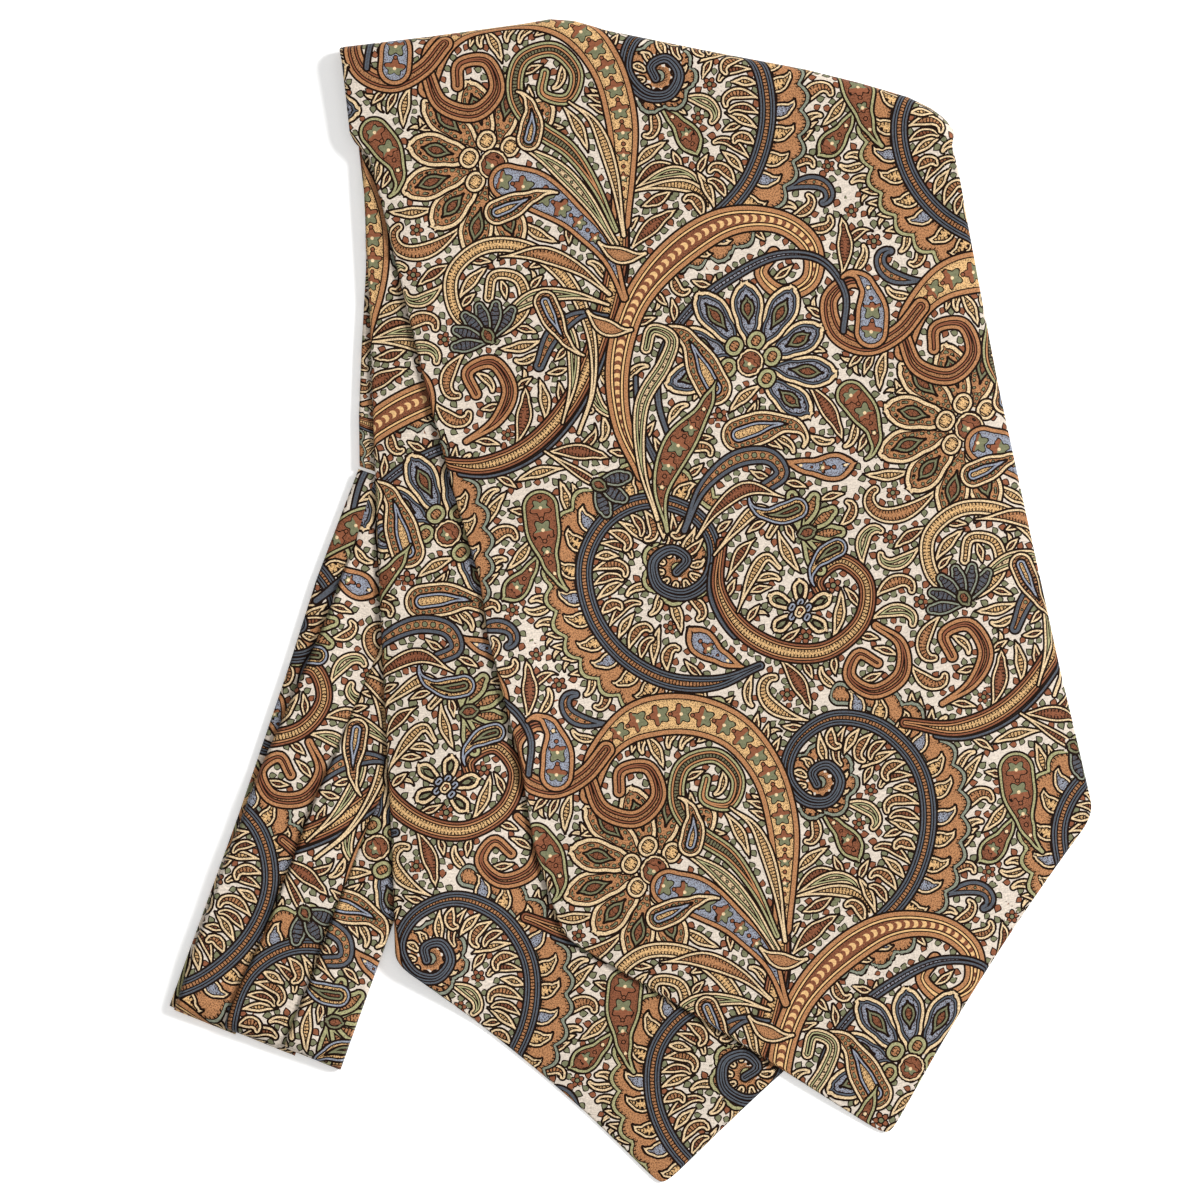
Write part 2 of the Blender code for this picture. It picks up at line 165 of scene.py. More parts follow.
# A blade's edges: (up from its point, left, right)
FRONT_EDGES = (
    (80.0, -81.0, 80.6), (105.0, -83.3, 80.6), (128.0, -81.6, 80.4),
    (165.0, -82.6, 80.7), (180.0, -81.2, 80.8), (203.0, -82.9, 81.0),
    (235.0, -84.1, 81.3), (285.0, -84.7, 82.7), (301.0, -85.2, 83.0), (306.0, -88.4, 83.1),
    (309.0, -89.2, 83.3), (319.0, -87.9, 83.6), (330.0, -86.6, 83.4), (350.0, -85.6, 83.2),
)
UNDER_EDGES = (
    (68.0, -77.8, 78.0), (100.0, -78.2, 79.5), (165.0, -80.3, 81.0),
    (225.0, -81.6, 82.0), (260.0, -82.0, 83.0), (345.0, -84.8, 85.0),
)
FRONT_HOLLOW, UNDER_HOLLOW = (0.07, 0.17), (0.23, 0.14)

# The fold at the top, seen from above: (x, y)
TOP_FOLD = (
    (-90.0, 163.0), (-60.0, 166.6), (-32.0, 170.4), (-24.0, 171.8), (-18.0, 171.2),
    (-9.0, 168.5), (20.0, 162.6), (50.0, 156.9), (66.0, 152.9), (80.0, 148.8),
    (87.0, 145.4), (91.0, 142.4), (94.0, 138.6), (96.6, 133.4),
)
CREST_X, CREST_RUN, LEFT_FOLD_SLOPE, RIGHT_FOLD_SLOPE = -18.0, 12.0, 0.2, -0.21
FOLD_OUTER_RADIUS, FOLD_SLACK, FOLD_LOFT_RUN, RETURN_RUN = 4.5, 1.0, 38.0, 12.0

# %% [markdown]
# ## Small helpers
#
# `smooth` eases from 0 to 1, `mix` blends, and `read` looks a value up between a table's
# rows. `place` and `locate` change between a stretch's own directions and the table's.

# %% Helpers for shapes
def smooth(share):
    """3s^2 - 2s^3 of a share held between 0 and 1: an ease with level ends."""
    share = np.clip(share, 0.0, 1.0)
    return share * share * (3.0 - 2.0 * share)


def mix(low, high, share):
    """low at share 0, high at share 1, straight between."""
    return low + (high - low) * share


def read(table, at, index):
    """One column of a table, read at a value of its first column."""
    rows = np.array(table, float)
    return np.interp(at, rows[:, 0], rows[:, index])


def place(stretch, across, up):
    """The stretch's own directions turned by its lean and moved to its origin."""
    turn = np.radians(stretch[2])
    return (stretch[0] + across * np.cos(turn) - up * np.sin(turn),
            stretch[1] + across * np.sin(turn) + up * np.cos(turn))


def locate(stretch, x, y):
    """The reverse of place."""
    turn = np.radians(stretch[2])
    dx, dy = x - stretch[0], y - stretch[1]
    return dx * np.cos(turn) + dy * np.sin(turn), dy * np.cos(turn) - dx * np.sin(turn)


def outside(x, y, corners):
    """Distance past a closed outline, and 0 inside it: the least distance to any side,
    with inside told by how many sides a level line from the point crosses."""
    starts = np.array(corners, float)
    nearest = np.full(x.size, np.inf)
    crossings = np.zeros(x.size, int)
    px, py = np.ravel(x), np.ravel(y)
    for (sx, sy), (rx, ry) in zip(starts, np.roll(starts, -1, axis=0) - starts):
        share = np.clip(((px - sx) * rx + (py - sy) * ry) / max(rx * rx + ry * ry, 1e-12), 0, 1)
        nearest = np.minimum(nearest, np.hypot(px - sx - share * rx, py - sy - share * ry))
        spans = (sy > py) != (sy + ry > py)
        crossings += spans & (px < sx + (py - sy) / (ry if ry else 1e-12) * rx)
    return np.where(crossings % 2 == 1, 0.0, nearest).reshape(np.shape(x))


def drop(distance):
    """1 on a support, easing to 0 a drape's run past its edge."""
    return 1.0 - smooth(distance / DRAPE_RUN)

# %% [markdown]
# ## How high each layer lies
#
# A blade takes its height from what is under it: the pleated neckband, the hidden layers,
# the table. Past the edge of a support the cloth comes down along a smooth ease, and near
# the top fold it rises to the height of its own turn.

# %% The fold at the top
def fold_normal(x):
    """The outward direction of the fold in plan: square to its slope, eased over the crest."""
    slope = mix(LEFT_FOLD_SLOPE, RIGHT_FOLD_SLOPE, smooth((x - CREST_X) / CREST_RUN + 0.5))
    length = np.hypot(1.0, slope)
    return -slope / length, 1.0 / length


def fold_up(stretch, across):
    """How far up a stretch its lines meet the fold, found by stepping to it."""
    up = np.full(np.shape(across), BLADE_TOP)
    for _ in range(8):
        x, y = place(stretch, across, up)
        up = up + (read(TOP_FOLD, x, 1) - y)
    return up


def fold_distance(x, y):
    """How far below the fold, seen from above."""
    return np.maximum(read(TOP_FOLD, x, 1) - y, 0.0)

# %% A blade's outline
def blade_sides(edges, hollow, up):
    """Left and right of a blade at a height up from its point. Below the shoulders a side
    runs straight to the rounded point, slightly hollowed; the two lines are blended by a
    smooth least."""
    shoulder = edges[0][0]
    shield = np.sqrt(up * up + 2.0 * TIP_RADIUS * up) / np.hypot(shoulder, TIP_RADIUS)
    sides = []
    for index in (1, 2):
        width = np.abs(read(edges, up, index))
        hollowed = 1.0 - hollow[index - 1] * np.maximum(1.0 - up / shoulder, 0.0)
        reach = shield * abs(edges[0][index]) * hollowed
        past = np.clip(0.5 + (reach - width) / (2 * SHOULDER_SOFTNESS), 0.0, 1.0)
        sides.append(np.maximum(
            mix(reach, width, past) - SHOULDER_SOFTNESS * past * (1.0 - past), 0.0))
    return -sides[0], sides[1]


def blade_outline(stretch, edges, hollow):
    """A blade's outline from above, as a closed list of corners."""
    rounded = np.linspace(0.2, edges[0][0] + SHOULDER_RUN, 12)
    ups = np.concatenate([rounded, np.linspace(rounded[-1], BLADE_TOP, 9)[1:]])
    left, right = blade_sides(edges, hollow, ups)
    sides = [place(stretch, left, ups), place(stretch, right[::-1], ups[::-1])]
    return [point for x, y in sides for point in zip(x, y)]

# %% The neckband's pleats and the hidden stretches
BAND_TOP, BAND_RETURN, BAND_TURN = 168.0, 14.0, 4.0
BAND_FOLD = (-1.0, -0.05)
PLEAT_FADE, PLEAT_COVER_RUN = (132.0, 168.0), 16.0
# The neckband's sides: (up, left, right)
BAND_EDGES = (
    (0.0, -0.5, 53.6), (60.0, 0.2, 54.3), (105.0, -0.2, 54.3), (133.0, -1.0, 54.0),
    (168.0, 0.0, 53.6),
)
# The three pleat edges across the neckband: (up, first, second, third)
PLEAT_EDGES = (
    (-6.0, 0.9, 16.1, 35.2), (30.0, 0.9, 18.6, 36.2), (65.0, 1.0, 19.8, 37.4),
    (110.0, 4.8, 22.4, 39.5), (150.0, 6.0, 25.5, 42.0), (180.0, 5.5, 28.0, 44.5),
)
# The hidden stretches' sides: (left x, left y, right x, right y)
BACK_STRETCH = (
    (-80.2, 39.6, -29.6, 22.0), (-80.4, 55.0, -14.0, 45.0), (-79.6, 75.0, 8.0, 67.0),
    (-78.3, 98.0, 36.0, 90.0), (-78.6, 118.0, 62.0, 108.0), (-81.8, 145.5, 84.0, 126.5),
)


def pleat_fade(up):
    """1 on the pressed pleats, easing to 0 where they are let out."""
    return 1.0 - smooth((up - PLEAT_FADE[0]) / (PLEAT_FADE[1] - PLEAT_FADE[0]))


def pleat_steps(across, up):
    """What the pleats add over the lowest panel: one eased step before each edge, fading out."""
    steps = sum(smooth((across - read(PLEAT_EDGES, up, pleat) + PLEAT_COVER_RUN) / PLEAT_COVER_RUN)
                for pleat in (1, 2, 3))
    return PLEAT_STEP * steps * pleat_fade(up)


def stack_outline():
    """The neckband and the hidden stretches together, seen from above."""
    left = [row[:2] for row in BACK_STRETCH]
    right = [row[2:] for row in reversed(BACK_STRETCH)]
    band = [place(NECKBAND, across, -3.0) for across in (BAND_EDGES[0][2], BAND_EDGES[0][1])]
    under_fold = [(x, y - FOLD_OUTER_RADIUS) for x, y in TOP_FOLD[1:-4]]
    return band + left + under_fold + right


def under_blade_floor(x, y):
    """The lower face of the blade underneath: the stack's height with its pleats, dropping
    past the stack's outline, blended near the fold with the height of the turn."""
    past = drop(outside(x, y, stack_outline()))
    across, up = locate(NECKBAND, x, y)
    resting = STACK_TOP + LOOSE_GAP + pleat_steps(across, up)
    folded = 2 * FOLD_OUTER_RADIUS - 2 * BLADE_WALL - LOOSE_GAP
    return mix(folded, resting * past, smooth(fold_distance(x, y) / FOLD_LOFT_RUN))


def front_blade_floor(x, y):
    """The lower face of the blade on top: a wall and a gap above the other blade, and down
    on the table past the other blade's edge."""
    outline = blade_outline(UNDER_BLADE, UNDER_EDGES, UNDER_HOLLOW)
    past = drop(np.maximum(outside(x, y, outline) - OVERHANG, 0.0))
    near_fold = 1.0 - smooth(fold_distance(x, y) / FOLD_LOFT_RUN)
    return under_blade_floor(x, y) + (BLADE_WALL + LOOSE_GAP) * np.maximum(past, near_fold)


print("stack", STACK_TOP, "mm high; fold", 2 * FOLD_OUTER_RADIUS, "mm")

# %% [markdown]
# ## Creases
#
# Pressed silk is never quite flat. A crease is a soft trough or ridge along a slightly bowed
# line. Each is listed in a table, with its own length, width and depth, so that no
# two are alike. A bell curve across the line keeps them soft; cloth simulation would make
# more of them, but not where a pressed cravat has them.

# %% Creases: (x, y) from, (x, y) to, bow sideways, half width, height
FRONT_CREASES = (
    (-29.0, -6.0, -33.5, -70.0, 1.2, 2.6, 0.55), (-38.0, -24.0, -34.5, -52.0, -0.9, 1.3, -0.45),
    (-70.0, 128.0, -58.0, 60.0, 2.0, 5.5, 0.30), (88.0, 120.0, 97.0, 30.0, 2.0, 5.0, 0.28),
    (-20.0, 150.0, 34.0, 126.0, 3.0, 7.0, -0.28), (112.0, 10.0, 124.0, -52.0, 2.0, 3.5, 0.25),
    (10.0, 60.0, 74.0, 34.0, 5.0, 9.0, 0.22), (-2.0, -60.0, 60.0, -84.0, 4.0, 8.0, 0.20),
    (56.0, -128.0, 88.0, -118.0, 2.0, 4.0, 0.24), (30.0, 10.0, 44.0, -58.0, 5.0, 10.0, -0.20),
    (70.0, 146.0, 60.0, 120.0, 2.0, 3.5, -0.35), (-56.0, 160.0, -49.0, 140.0, 1.0, 2.6, -0.30),
)
UNDER_CREASES = (
    (-77.6, 99.6, -69.8, 102.2, 0.4, 1.1, -0.70), (-77.2, 86.6, -67.5, 90.2, 0.6, 1.2, -0.60),
    (-62.2, 56.5, -57.8, 52.2, 0.5, 1.0, -0.75), (-76.0, 70.0, -66.0, 66.0, -0.6, 2.0, 0.35),
    (-74.0, 30.0, -70.0, -40.0, 1.5, 3.0, 0.35), (-46.0, -10.0, -42.0, -74.0, 1.5, 4.5, -0.28),
    (-60.0, -106.0, -20.0, -132.0, 3.0, 5.0, 0.22), (-66.0, 10.0, -52.0, -60.0, 4.0, 5.5, 0.22),
)
BAND_CREASES = (
    (-120.0, -110.0, -98.0, -54.0, 1.0, 2.4, -0.22),
    (-92.0, -122.0, -66.0, -56.0, 1.4, 2.8, 0.24),
    (-104.0, -60.0, -82.0, -4.0, -1.2, 2.6, 0.20),
    (-110.0, -128.0, -104.0, -116.0, 0.6, 2.0, -0.30),
)


def crease_height(x, y, creases):
    """The sum of all creases: height times a bell across the line, exp(-(across/width)^2),
    times an ease in from both ends. A bow moves the line sideways by a half sine."""
    height = np.zeros(np.shape(x))
    for x0, y0, x1, y1, bow, width, rise in creases:
        length = np.hypot(x1 - x0, y1 - y0)
        ax, ay = (x1 - x0) / length, (y1 - y0) / length
        along = ((x - x0) * ax + (y - y0) * ay) / length
        across = (y - y0) * ax - (x - x0) * ay - bow * np.sin(pi * np.clip(along, 0, 1))
        ends = smooth(3.0 * along) * smooth(3.0 * (1.0 - along))
        height += rise * ends * np.exp(-(across / width) ** 2)
    return height


def handling(x, y):
    """Broad unevenness from handling: three crossing waves of 40 to 90 mm, a tenth high."""
    return (0.11 * np.sin(x / 13.1 + 0.4 * np.sin(y / 17.0))
            + 0.09 * np.sin(y / 10.3 + 1.2 + 0.5 * np.sin(x / 21.0))
            + 0.06 * np.sin((x + y) / 7.9 + 2.0))

# %% [markdown]
# ## A wide blade
#
# A blade is folded silk, so it is two skins that meet round a turned edge. One fine grid
# makes the upper skin, goes round both long edges, over the turn at the top and back under
# it; one coarser grid closes the underside. The grid's columns follow the blade's own sides,
# so the point and the shoulders need no cutting.
#
# Every grid point also keeps its place on the flat cloth, in millimetres from the blade's
# point. That is what the print is drawn on later, so it runs over edges and folds unbroken.

# %% The columns of a blade, round both of its edges
EDGE_TURN = 0.9           # a turned edge's roundness
EDGE_PRINT = 0.6          # how much of the turn's length the print runs on by
UPPER = 0.9               # a height share above this is on the upper skin
EDGE_STATIONS = np.array((
    # (distance in from the edge as a share of the turn, height from mid wall as a share)
    (1.7, -1.0), (1.0, -1.0), (0.29, -0.707), (0.0, 0.0), (0.29, 0.707), (1.0, 1.0), (1.8, 1.0),
))


def blade_columns(left, right, inner):
    """Across and height share of each column. Seven stations go round each edge, the rest
    are even shares between them: across = side + distance in, for every row at once."""
    inward, height = EDGE_STATIONS.T
    narrow = np.minimum((right - left) / 8.0, EDGE_TURN)[:, None]
    lefts = left[:, None] + narrow * inward
    rights = right[:, None] - narrow * inward[::-1]
    share = np.linspace(0.0, 1.0, inner + 2)[1:-1]
    middle = mix(lefts[:, -1:], rights[:, :1], share)
    across = np.concatenate([lefts, middle, rights], axis=1)
    heights = np.concatenate([height, np.ones(inner), height[::-1]])
    return across, np.broadcast_to(heights, across.shape)


def unrolled(across, left, right, heights):
    """Across on the flat cloth. Above, it is across itself; round and under an edge it runs
    on by a share of the length of the turn."""
    turned = 0.5 * pi * 0.5 * (BLADE_WALL + 2 * EDGE_TURN) * 0.5
    beyond = np.where(heights < UPPER, turned * (1.0 - np.maximum(heights, -UPPER) * UPPER), 0.0)
    is_left = across < 0.5 * (left + right)[:, None]
    inward = np.where(is_left, across - left[:, None], right[:, None] - across)
    under = np.where(heights < -UPPER, inward, 0.0)
    edge = np.where(is_left, left[:, None], right[:, None])
    away = np.where(is_left, -1.0, 1.0)
    return np.where(heights >= UPPER, across, edge + away * (beyond + under) * EDGE_PRINT)

# %% The rows of a blade, and its turn over the fold
TIP_UPS, TIP_END = (0.04, 0.25, 0.6, 1.1, 1.7), 2.5        # rows at the rounded point
RETURN_ROWS = 7
FOLD_EASE = 14.0          # the last stretch, which rises to the height of its turn
PILLOW, PILLOW_RUN = 0.22, 5.0        # the skin sinks this much towards its edges
ON_TABLE = 0.2            # cloth below this height lies on the table and can't stand off


def blade_grid(stretch, edges, hollow, slack, step):
    """Across, up, height share and across on the flat cloth, from the point to the fold
    line. Rows are level up to the shoulders. Above, they ease into the line of the fold,
    which is found in four rounds, because the columns lean with the rows."""
    inner = 2 * int((edges[0][2] - edges[0][1]) / step / 2) - 3
    columns = inner + 2 * len(EDGE_STATIONS)
    shoulder = edges[0][0] + SHOULDER_RUN
    inset = FOLD_OUTER_RADIUS + slack
    tip_ups = np.concatenate([TIP_UPS, np.arange(TIP_END, shoulder, step)])
    sides = blade_sides(edges, hollow, tip_ups)
    across, heights = blade_columns(*sides, inner)
    point = (across, np.repeat(tip_ups[:, None], columns, axis=1), heights,
             unrolled(across, *sides, heights))
    level = np.linspace(0.0, 1.0, int((BLADE_TOP - shoulder) / step))[:, None] + np.zeros(columns)
    rise = mix(shoulder, BLADE_TOP - 30.0, level)
    for _ in range(4):
        sides = blade_sides(edges, hollow, rise[:, columns // 2])
        across, heights = blade_columns(*sides, inner)
        rise = mix(shoulder, fold_up(stretch, across) - inset, level)
    body = (across, rise, heights, unrolled(across, *sides, heights))
    return [np.concatenate(pair) for pair in zip(point, body)]


def round_fold(x, y, skin, turns):
    """One skin's rows past the fold line: a half circle of that radius about the middle of
    the fold, then straight back under the stack."""
    nx, ny = fold_normal(x)
    angle = np.linspace(0.5 * pi, -0.5 * pi, turns + 1)[1:, None]
    out = skin * np.cos(angle)
    back = np.linspace(0.0, RETURN_RUN, RETURN_ROWS)[1:, None]
    return (np.stack([x + nx * out, y + ny * out,
                      FOLD_OUTER_RADIUS + skin * np.sin(angle)], axis=-1),
            np.stack([x - nx * back, y - ny * back,
                      FOLD_OUTER_RADIUS - skin + 0.0 * back], axis=-1))

# %% A whole blade
def blade_surface(stretch, edges, hollow, surface, radius, slack, step, creases, lift):
    """Fine upper skin, its underside and its place on the flat cloth, row by row from the
    point: height = what it lies on + wall share + creases + pillow, and past the fold line
    a half circle and a short way back under the stack."""
    across, ups, heights, flat = blade_grid(stretch, edges, hollow, slack, step)
    x, y = place(stretch, across, ups)
    turn_height = FOLD_OUTER_RADIUS + radius - BLADE_WALL
    near_fold = 1.0 - smooth((ups[-1] - ups) / FOLD_EASE)
    loose = 1.0 - near_fold
    base = surface(x, y)
    base += near_fold * (turn_height - base[-1])
    side_gap = np.minimum(across - across.min(1, keepdims=True),
                          across.max(1, keepdims=True) - across)
    pillow = -PILLOW * (1.0 - smooth(side_gap / PILLOW_RUN)) * (heights > UPPER)
    uneven = loose * (crease_height(x, y, creases) + handling(x, y) + pillow)
    lifted = loose * lift(x, y) * (base > ON_TABLE)
    share = 0.5 + 0.5 * heights
    top = base + BLADE_WALL * share + uneven * share + lifted
    outer = turn_height + BLADE_WALL * share[-1] - FOLD_OUTER_RADIUS
    inner = np.full_like(outer, radius - BLADE_WALL)
    turns = int(pi * radius / step / 2) * 2
    rows = (np.stack([x, y, top], axis=-1), *round_fold(x[-1], y[-1], outer, turns))
    lows = (np.stack([x, y, base + lifted], axis=-1), *round_fold(x[-1], y[-1], inner, turns))
    over = np.concatenate([radius * pi * np.linspace(0, 1, turns + 1)[1:],
                           radius * pi + np.linspace(0.0, RETURN_RUN, RETURN_ROWS)[1:]])[:, None]
    turn = np.radians(stretch[2])
    nx, ny = fold_normal(x[-1])
    cloth = (np.stack([flat, ups], axis=-1),
             np.stack([flat[-1] + over * (nx * np.cos(turn) + ny * np.sin(turn)),
                       ups[-1] + over * (ny * np.cos(turn) - nx * np.sin(turn))], axis=-1))
    return [np.concatenate(part) for part in (rows, lows, cloth)]


def no_lift(x, y):
    """Nothing, for a blade that lies close everywhere."""
    return np.zeros(np.shape(x))


def front_lift(x, y):
    """The front blade's left edge stands off the cloth below: a low bell along all of it,
    higher along two stretches of about 55 and 40 mm."""
    return crease_height(x, y, ((-36.0, -12.0, -30.5, -66.0, 1.5, 7.0, 0.6),
                                (-47.0, 40.0, -40.0, 2.0, 0.5, 5.0, 0.35),
                                (-72.0, 112.0, -20.0, -104.0, -3.0, 5.0, 0.55)))


front_skin = blade_surface(FRONT_BLADE, FRONT_EDGES, FRONT_HOLLOW, front_blade_floor,
                           FOLD_OUTER_RADIUS, 0.0, 0.92, FRONT_CREASES, front_lift)
under_skin = blade_surface(UNDER_BLADE, UNDER_EDGES, UNDER_HOLLOW, under_blade_floor,
                           FOLD_OUTER_RADIUS - BLADE_WALL - LOOSE_GAP, FOLD_SLACK, 0.98,
                           UNDER_CREASES, no_lift)
for name, skin in (("front", front_skin), ("under", under_skin)):
    print(name, "blade grid", skin[0].shape[:2], "from", skin[0].min((0, 1)).round(1),
          "to", skin[0].max((0, 1)).round(1))

# %% [markdown]
# ## The pleated neckband
#
# The neckband is the same silk laid in lapped pleats. Each panel's left edge is a fold that
# lies on the panel before it, and its right part runs on under the next one. So it is built
# as four overlapping strips, not as steps in one sheet: the laps then cast real shadows. At
# the lower end all strips turn down together and go back under.

# %% Pleat panels
BAND_STEP = 0.8
LAP = 4.0                 # how far a panel runs on under the next
PLEAT_TURN = 0.9
TURN_SHARES = np.array((0.0, 0.04, 0.2, 0.55, 1.0))        # columns round a panel's fold
COVERED_TILT, PLEAT_TILT = 0.3, 2.1        # a panel lies highest at its fold, most in the open
COVER_X, COVER_RUN = -79.0, 10.0           # left of this no blade covers the neckband
PUFF = 0.16               # the soft rise in a panel's middle
LAYER_LIFT = 0.04
LET_OUT_STEP = 0.12       # what is left of a pleat's step where it is let out
SILK_INSET = 0.4          # the silk's lower fold stays this far inside the solid's
FOLD_ROWS, BACK_ROWS = 13, 8
PANEL_SHIFT = (0.0, 37.0, 71.0, 109.0)     # where on the flat cloth each panel begins
BAND_STAGGER = (0.0, -0.5, 0.3, 1.5)       # the panels' lower folds aren't quite level


def quarter_round(share):
    """How far a rounded edge lies below its top, as a share: one less the root of
    1 - (1 - share)^2, so 1 at its edge and 0 where it is level."""
    return 1.0 - np.sqrt(1.0 - (1.0 - share) ** 2)


def band_panel(index):
    """One strip: columns from its folded left edge to its lapped or right edge, rows from
    under the blades down to the lower fold, round a half circle and a little way back.
    height = stack + a pleat step per panel, falling round the fold by a quarter ellipse."""
    ups = np.concatenate([np.arange(BAND_TOP, BAND_TURN, -BAND_STEP), [BAND_TURN]])[:, None]
    pressed = pleat_fade(ups)
    is_last = index == len(PANEL_SHIFT) - 1
    left = read(PLEAT_EDGES, ups, index) if index else read(BAND_EDGES, ups, 1)
    right = read(BAND_EDGES, ups, 2) if is_last else read(PLEAT_EDGES, ups, index + 1) + LAP
    wander = 0.22 * np.sin(ups / 11.0 + 2.1 * index) + 0.13 * np.sin(ups / 4.7 + index)
    left = left + (wander if index else 0.0)
    fold = TURN_SHARES * PLEAT_TURN
    count = 2 * int(np.ptp([left.mean(), right.mean()]) / BAND_STEP / 2) + 2
    middle = mix(left + fold[-1], right - (fold[-1] if is_last else 0.0),
                 np.linspace(0.0, 1.0, count))
    across = np.concatenate([left + fold[:-1], middle], axis=1)
    dip = quarter_round(np.clip((across - left) / PLEAT_TURN, 0, 1))
    depth = mix(LET_OUT_STEP, PLEAT_STEP, pressed) if index else PANEL_WALL
    top = STACK_TOP + PLEAT_STEP * index * pressed + LAYER_LIFT * index
    top = top - depth * dip + 0.0 * across
    if is_last:
        across = np.concatenate([across, right - fold[:-1][::-1] + 0.0 * ups], axis=1)
        edge = top[:, -1:]
        over = quarter_round(fold[:-1][::-1] / PLEAT_TURN)
        top = np.concatenate([top, edge - (edge - BAND_WALL - SEAM_GAP) * over], axis=1)
    share = np.clip((across - left) / (right - left), 0, 1)
    puff = PUFF * np.sin(pi * share) * pressed
    x, y = place(NECKBAND, across, ups)
    open_part = COVERED_TILT + PLEAT_TILT * smooth((COVER_X - x) / COVER_RUN)
    tilt = open_part * (1.0 - share) * np.clip((across - left) / PLEAT_TURN, 0, 1)
    top = top + puff + (tilt if index else 0.0) * pressed + crease_height(x, y, BAND_CREASES)
    reach = BAND_TURN - BAND_FOLD[0] - BAND_FOLD[1] * across[-1] - SILK_INSET - BAND_STAGGER[index]
    angle = np.linspace(0.5 * pi, -0.5 * pi, FOLD_ROWS)[1:, None]
    radius = top[-1] / 2
    back = np.linspace(BAND_TURN, BAND_RETURN - SILK_INSET, BACK_ROWS)[1:, None] + 0.0 * across[-1]
    all_across = np.concatenate([across, across[-1] + 0.0 * angle, across[-1] + 0.0 * back])
    all_ups = np.concatenate([ups + 0.0 * across, BAND_TURN - reach * np.cos(angle), back])
    height = np.concatenate([top, radius * (1 + np.sin(angle)) + 0.02 * index,
                             0.0 * back + 0.03 * (3 - index) + 0.01])
    px, py = place(NECKBAND, all_across, all_ups)
    size = radius.mean() + reach.mean()
    arc = np.concatenate([ups[:, 0], BAND_TURN - 0.5 * size * (0.5 * pi - angle[:, 0]),
                          BAND_TURN - 0.5 * pi * size - (back[:, 0] - BAND_TURN)])
    cloth = np.stack([all_across + PANEL_SHIFT[index], arc[:, None] + 0.0 * all_across], axis=-1)
    return np.stack([px, py, height], axis=-1)[::-1], cloth[::-1]


panels = [band_panel(index) for index in range(4)]
print("pleat panels", [panel[0].shape[:2] for panel in panels])

# %% [markdown]
# ## What lies under
#
# The neckband's lower half and the hidden stretches are seen only along their edges. Each
# is one closed tube across its width: up one side, over the top, down the other side and
# back along the table. The hidden stretches show two layers, so their sides carry a groove.

# %% Layered pads
LAYER_GROOVE = 1.2
STRETCH_LENGTH = 130.0    # the hidden stretches' length on the flat cloth


def side_profile(layers, height):
    """(in, up) along a side from the table to the top: one bulge for each layer, in = groove
    times one less the half ellipse of that layer."""
    turn = np.linspace(-1.0, 1.0, 9)
    groove = LAYER_GROOVE * (1.0 - np.sqrt(1.0 - turn ** 2)) * 0.6
    bulge = [np.stack([groove, height / layers * (index + 0.5 + 0.5 * turn)], axis=-1)
             for index in range(layers)]
    return np.concatenate(bulge[:1] + [part[1:] for part in bulge[1:]])


def pad(left, right, layers, height, columns):
    """Rows of points round a flat pad: its left side, its top, its right side and the table.
    left and right are its sides' x and y for each row."""
    side = side_profile(layers, height)
    width = np.linalg.norm(right - left, axis=1)[:, None]
    inward = (right - left) / width
    share = np.linspace(0.0, 1.0, columns + 2)[1:-1]
    tail = side[:, 0].max()
    reach = np.concatenate([side[:, 0] + 0.0 * width, mix(tail, width - tail, share),
                            width - side[::-1, 0], mix(width - tail, tail, share)], axis=1)
    rise = np.concatenate([side[:, 1], np.full(columns, height), side[::-1, 1], np.zeros(columns)])
    flat = np.concatenate([side[:, 1], height + mix(0.0, width.mean(), share),
                           width.mean() + 2 * height - side[::-1, 1],
                           width.mean() + 2 * height + mix(0.0, width.mean(), share)])
    x = left[:, :1] + reach * inward[:, :1]
    y = left[:, 1:] + reach * inward[:, 1:]
    return np.stack([x, y, rise + 0.0 * x], axis=-1), flat


def on_cloth(across, up):
    """A pad's places on the flat cloth: every across with every up."""
    return np.stack(np.broadcast_arrays(across, up[:, None]), axis=-1)


band_ups = np.linspace(BAND_RETURN + 1.1, BAND_TOP, 96)
lower_sides = [np.stack(place(NECKBAND, read(BAND_EDGES, band_ups, side), band_ups), axis=-1)
               for side in (1, 2)]
lower_pad, lower_flat = pad(*lower_sides, 1, BAND_WALL, 30)
lower_cloth = on_cloth(lower_flat, band_ups)

stretch_level = np.linspace(0.0, 1.0, 84)
rails = np.stack([np.interp(stretch_level, np.linspace(0, 1, len(BACK_STRETCH)), side)
                  for side in np.transpose(BACK_STRETCH)], axis=-1)
stretch_pad, stretch_flat = pad(rails[:, :2], rails[:, 2:], 2, STACK_TOP, 60)
stretch_cloth = on_cloth(stretch_flat, STRETCH_LENGTH * stretch_level)
print("lower neckband", lower_pad.shape[:2], "hidden stretches", stretch_pad.shape[:2])

# %% [markdown]
# ## From grids to faces
#
# A grid of points becomes quads by pairing each row with the next. A blade's underside takes
# every second row and column of its lower skin, and its rim is stitched to the fine skin's
# rim with triangles, three to a rim cell. A triangle is kept as a quad with its last corner
# marked -1, so that all faces stay in one array.

# %% Faces
def grid_faces(index, turned=False):
    """Quads between neighbouring rows and columns, counter-clockwise from above."""
    faces = np.stack([index[:-1, :-1], index[:-1, 1:], index[1:, 1:], index[1:, :-1]], axis=-1)
    return (faces[..., ::-1] if turned else faces).reshape(-1, 4)


def rim_views(fine, coarse):
    """The two grids turned so that each rim in turn is the first row, and whether that turns
    the faces over."""
    return ((fine, coarse, False), (fine[::-1], coarse[::-1], True),
            (fine.T, coarse.T, True), (fine[:, ::-1].T, coarse[:, ::-1].T, False))


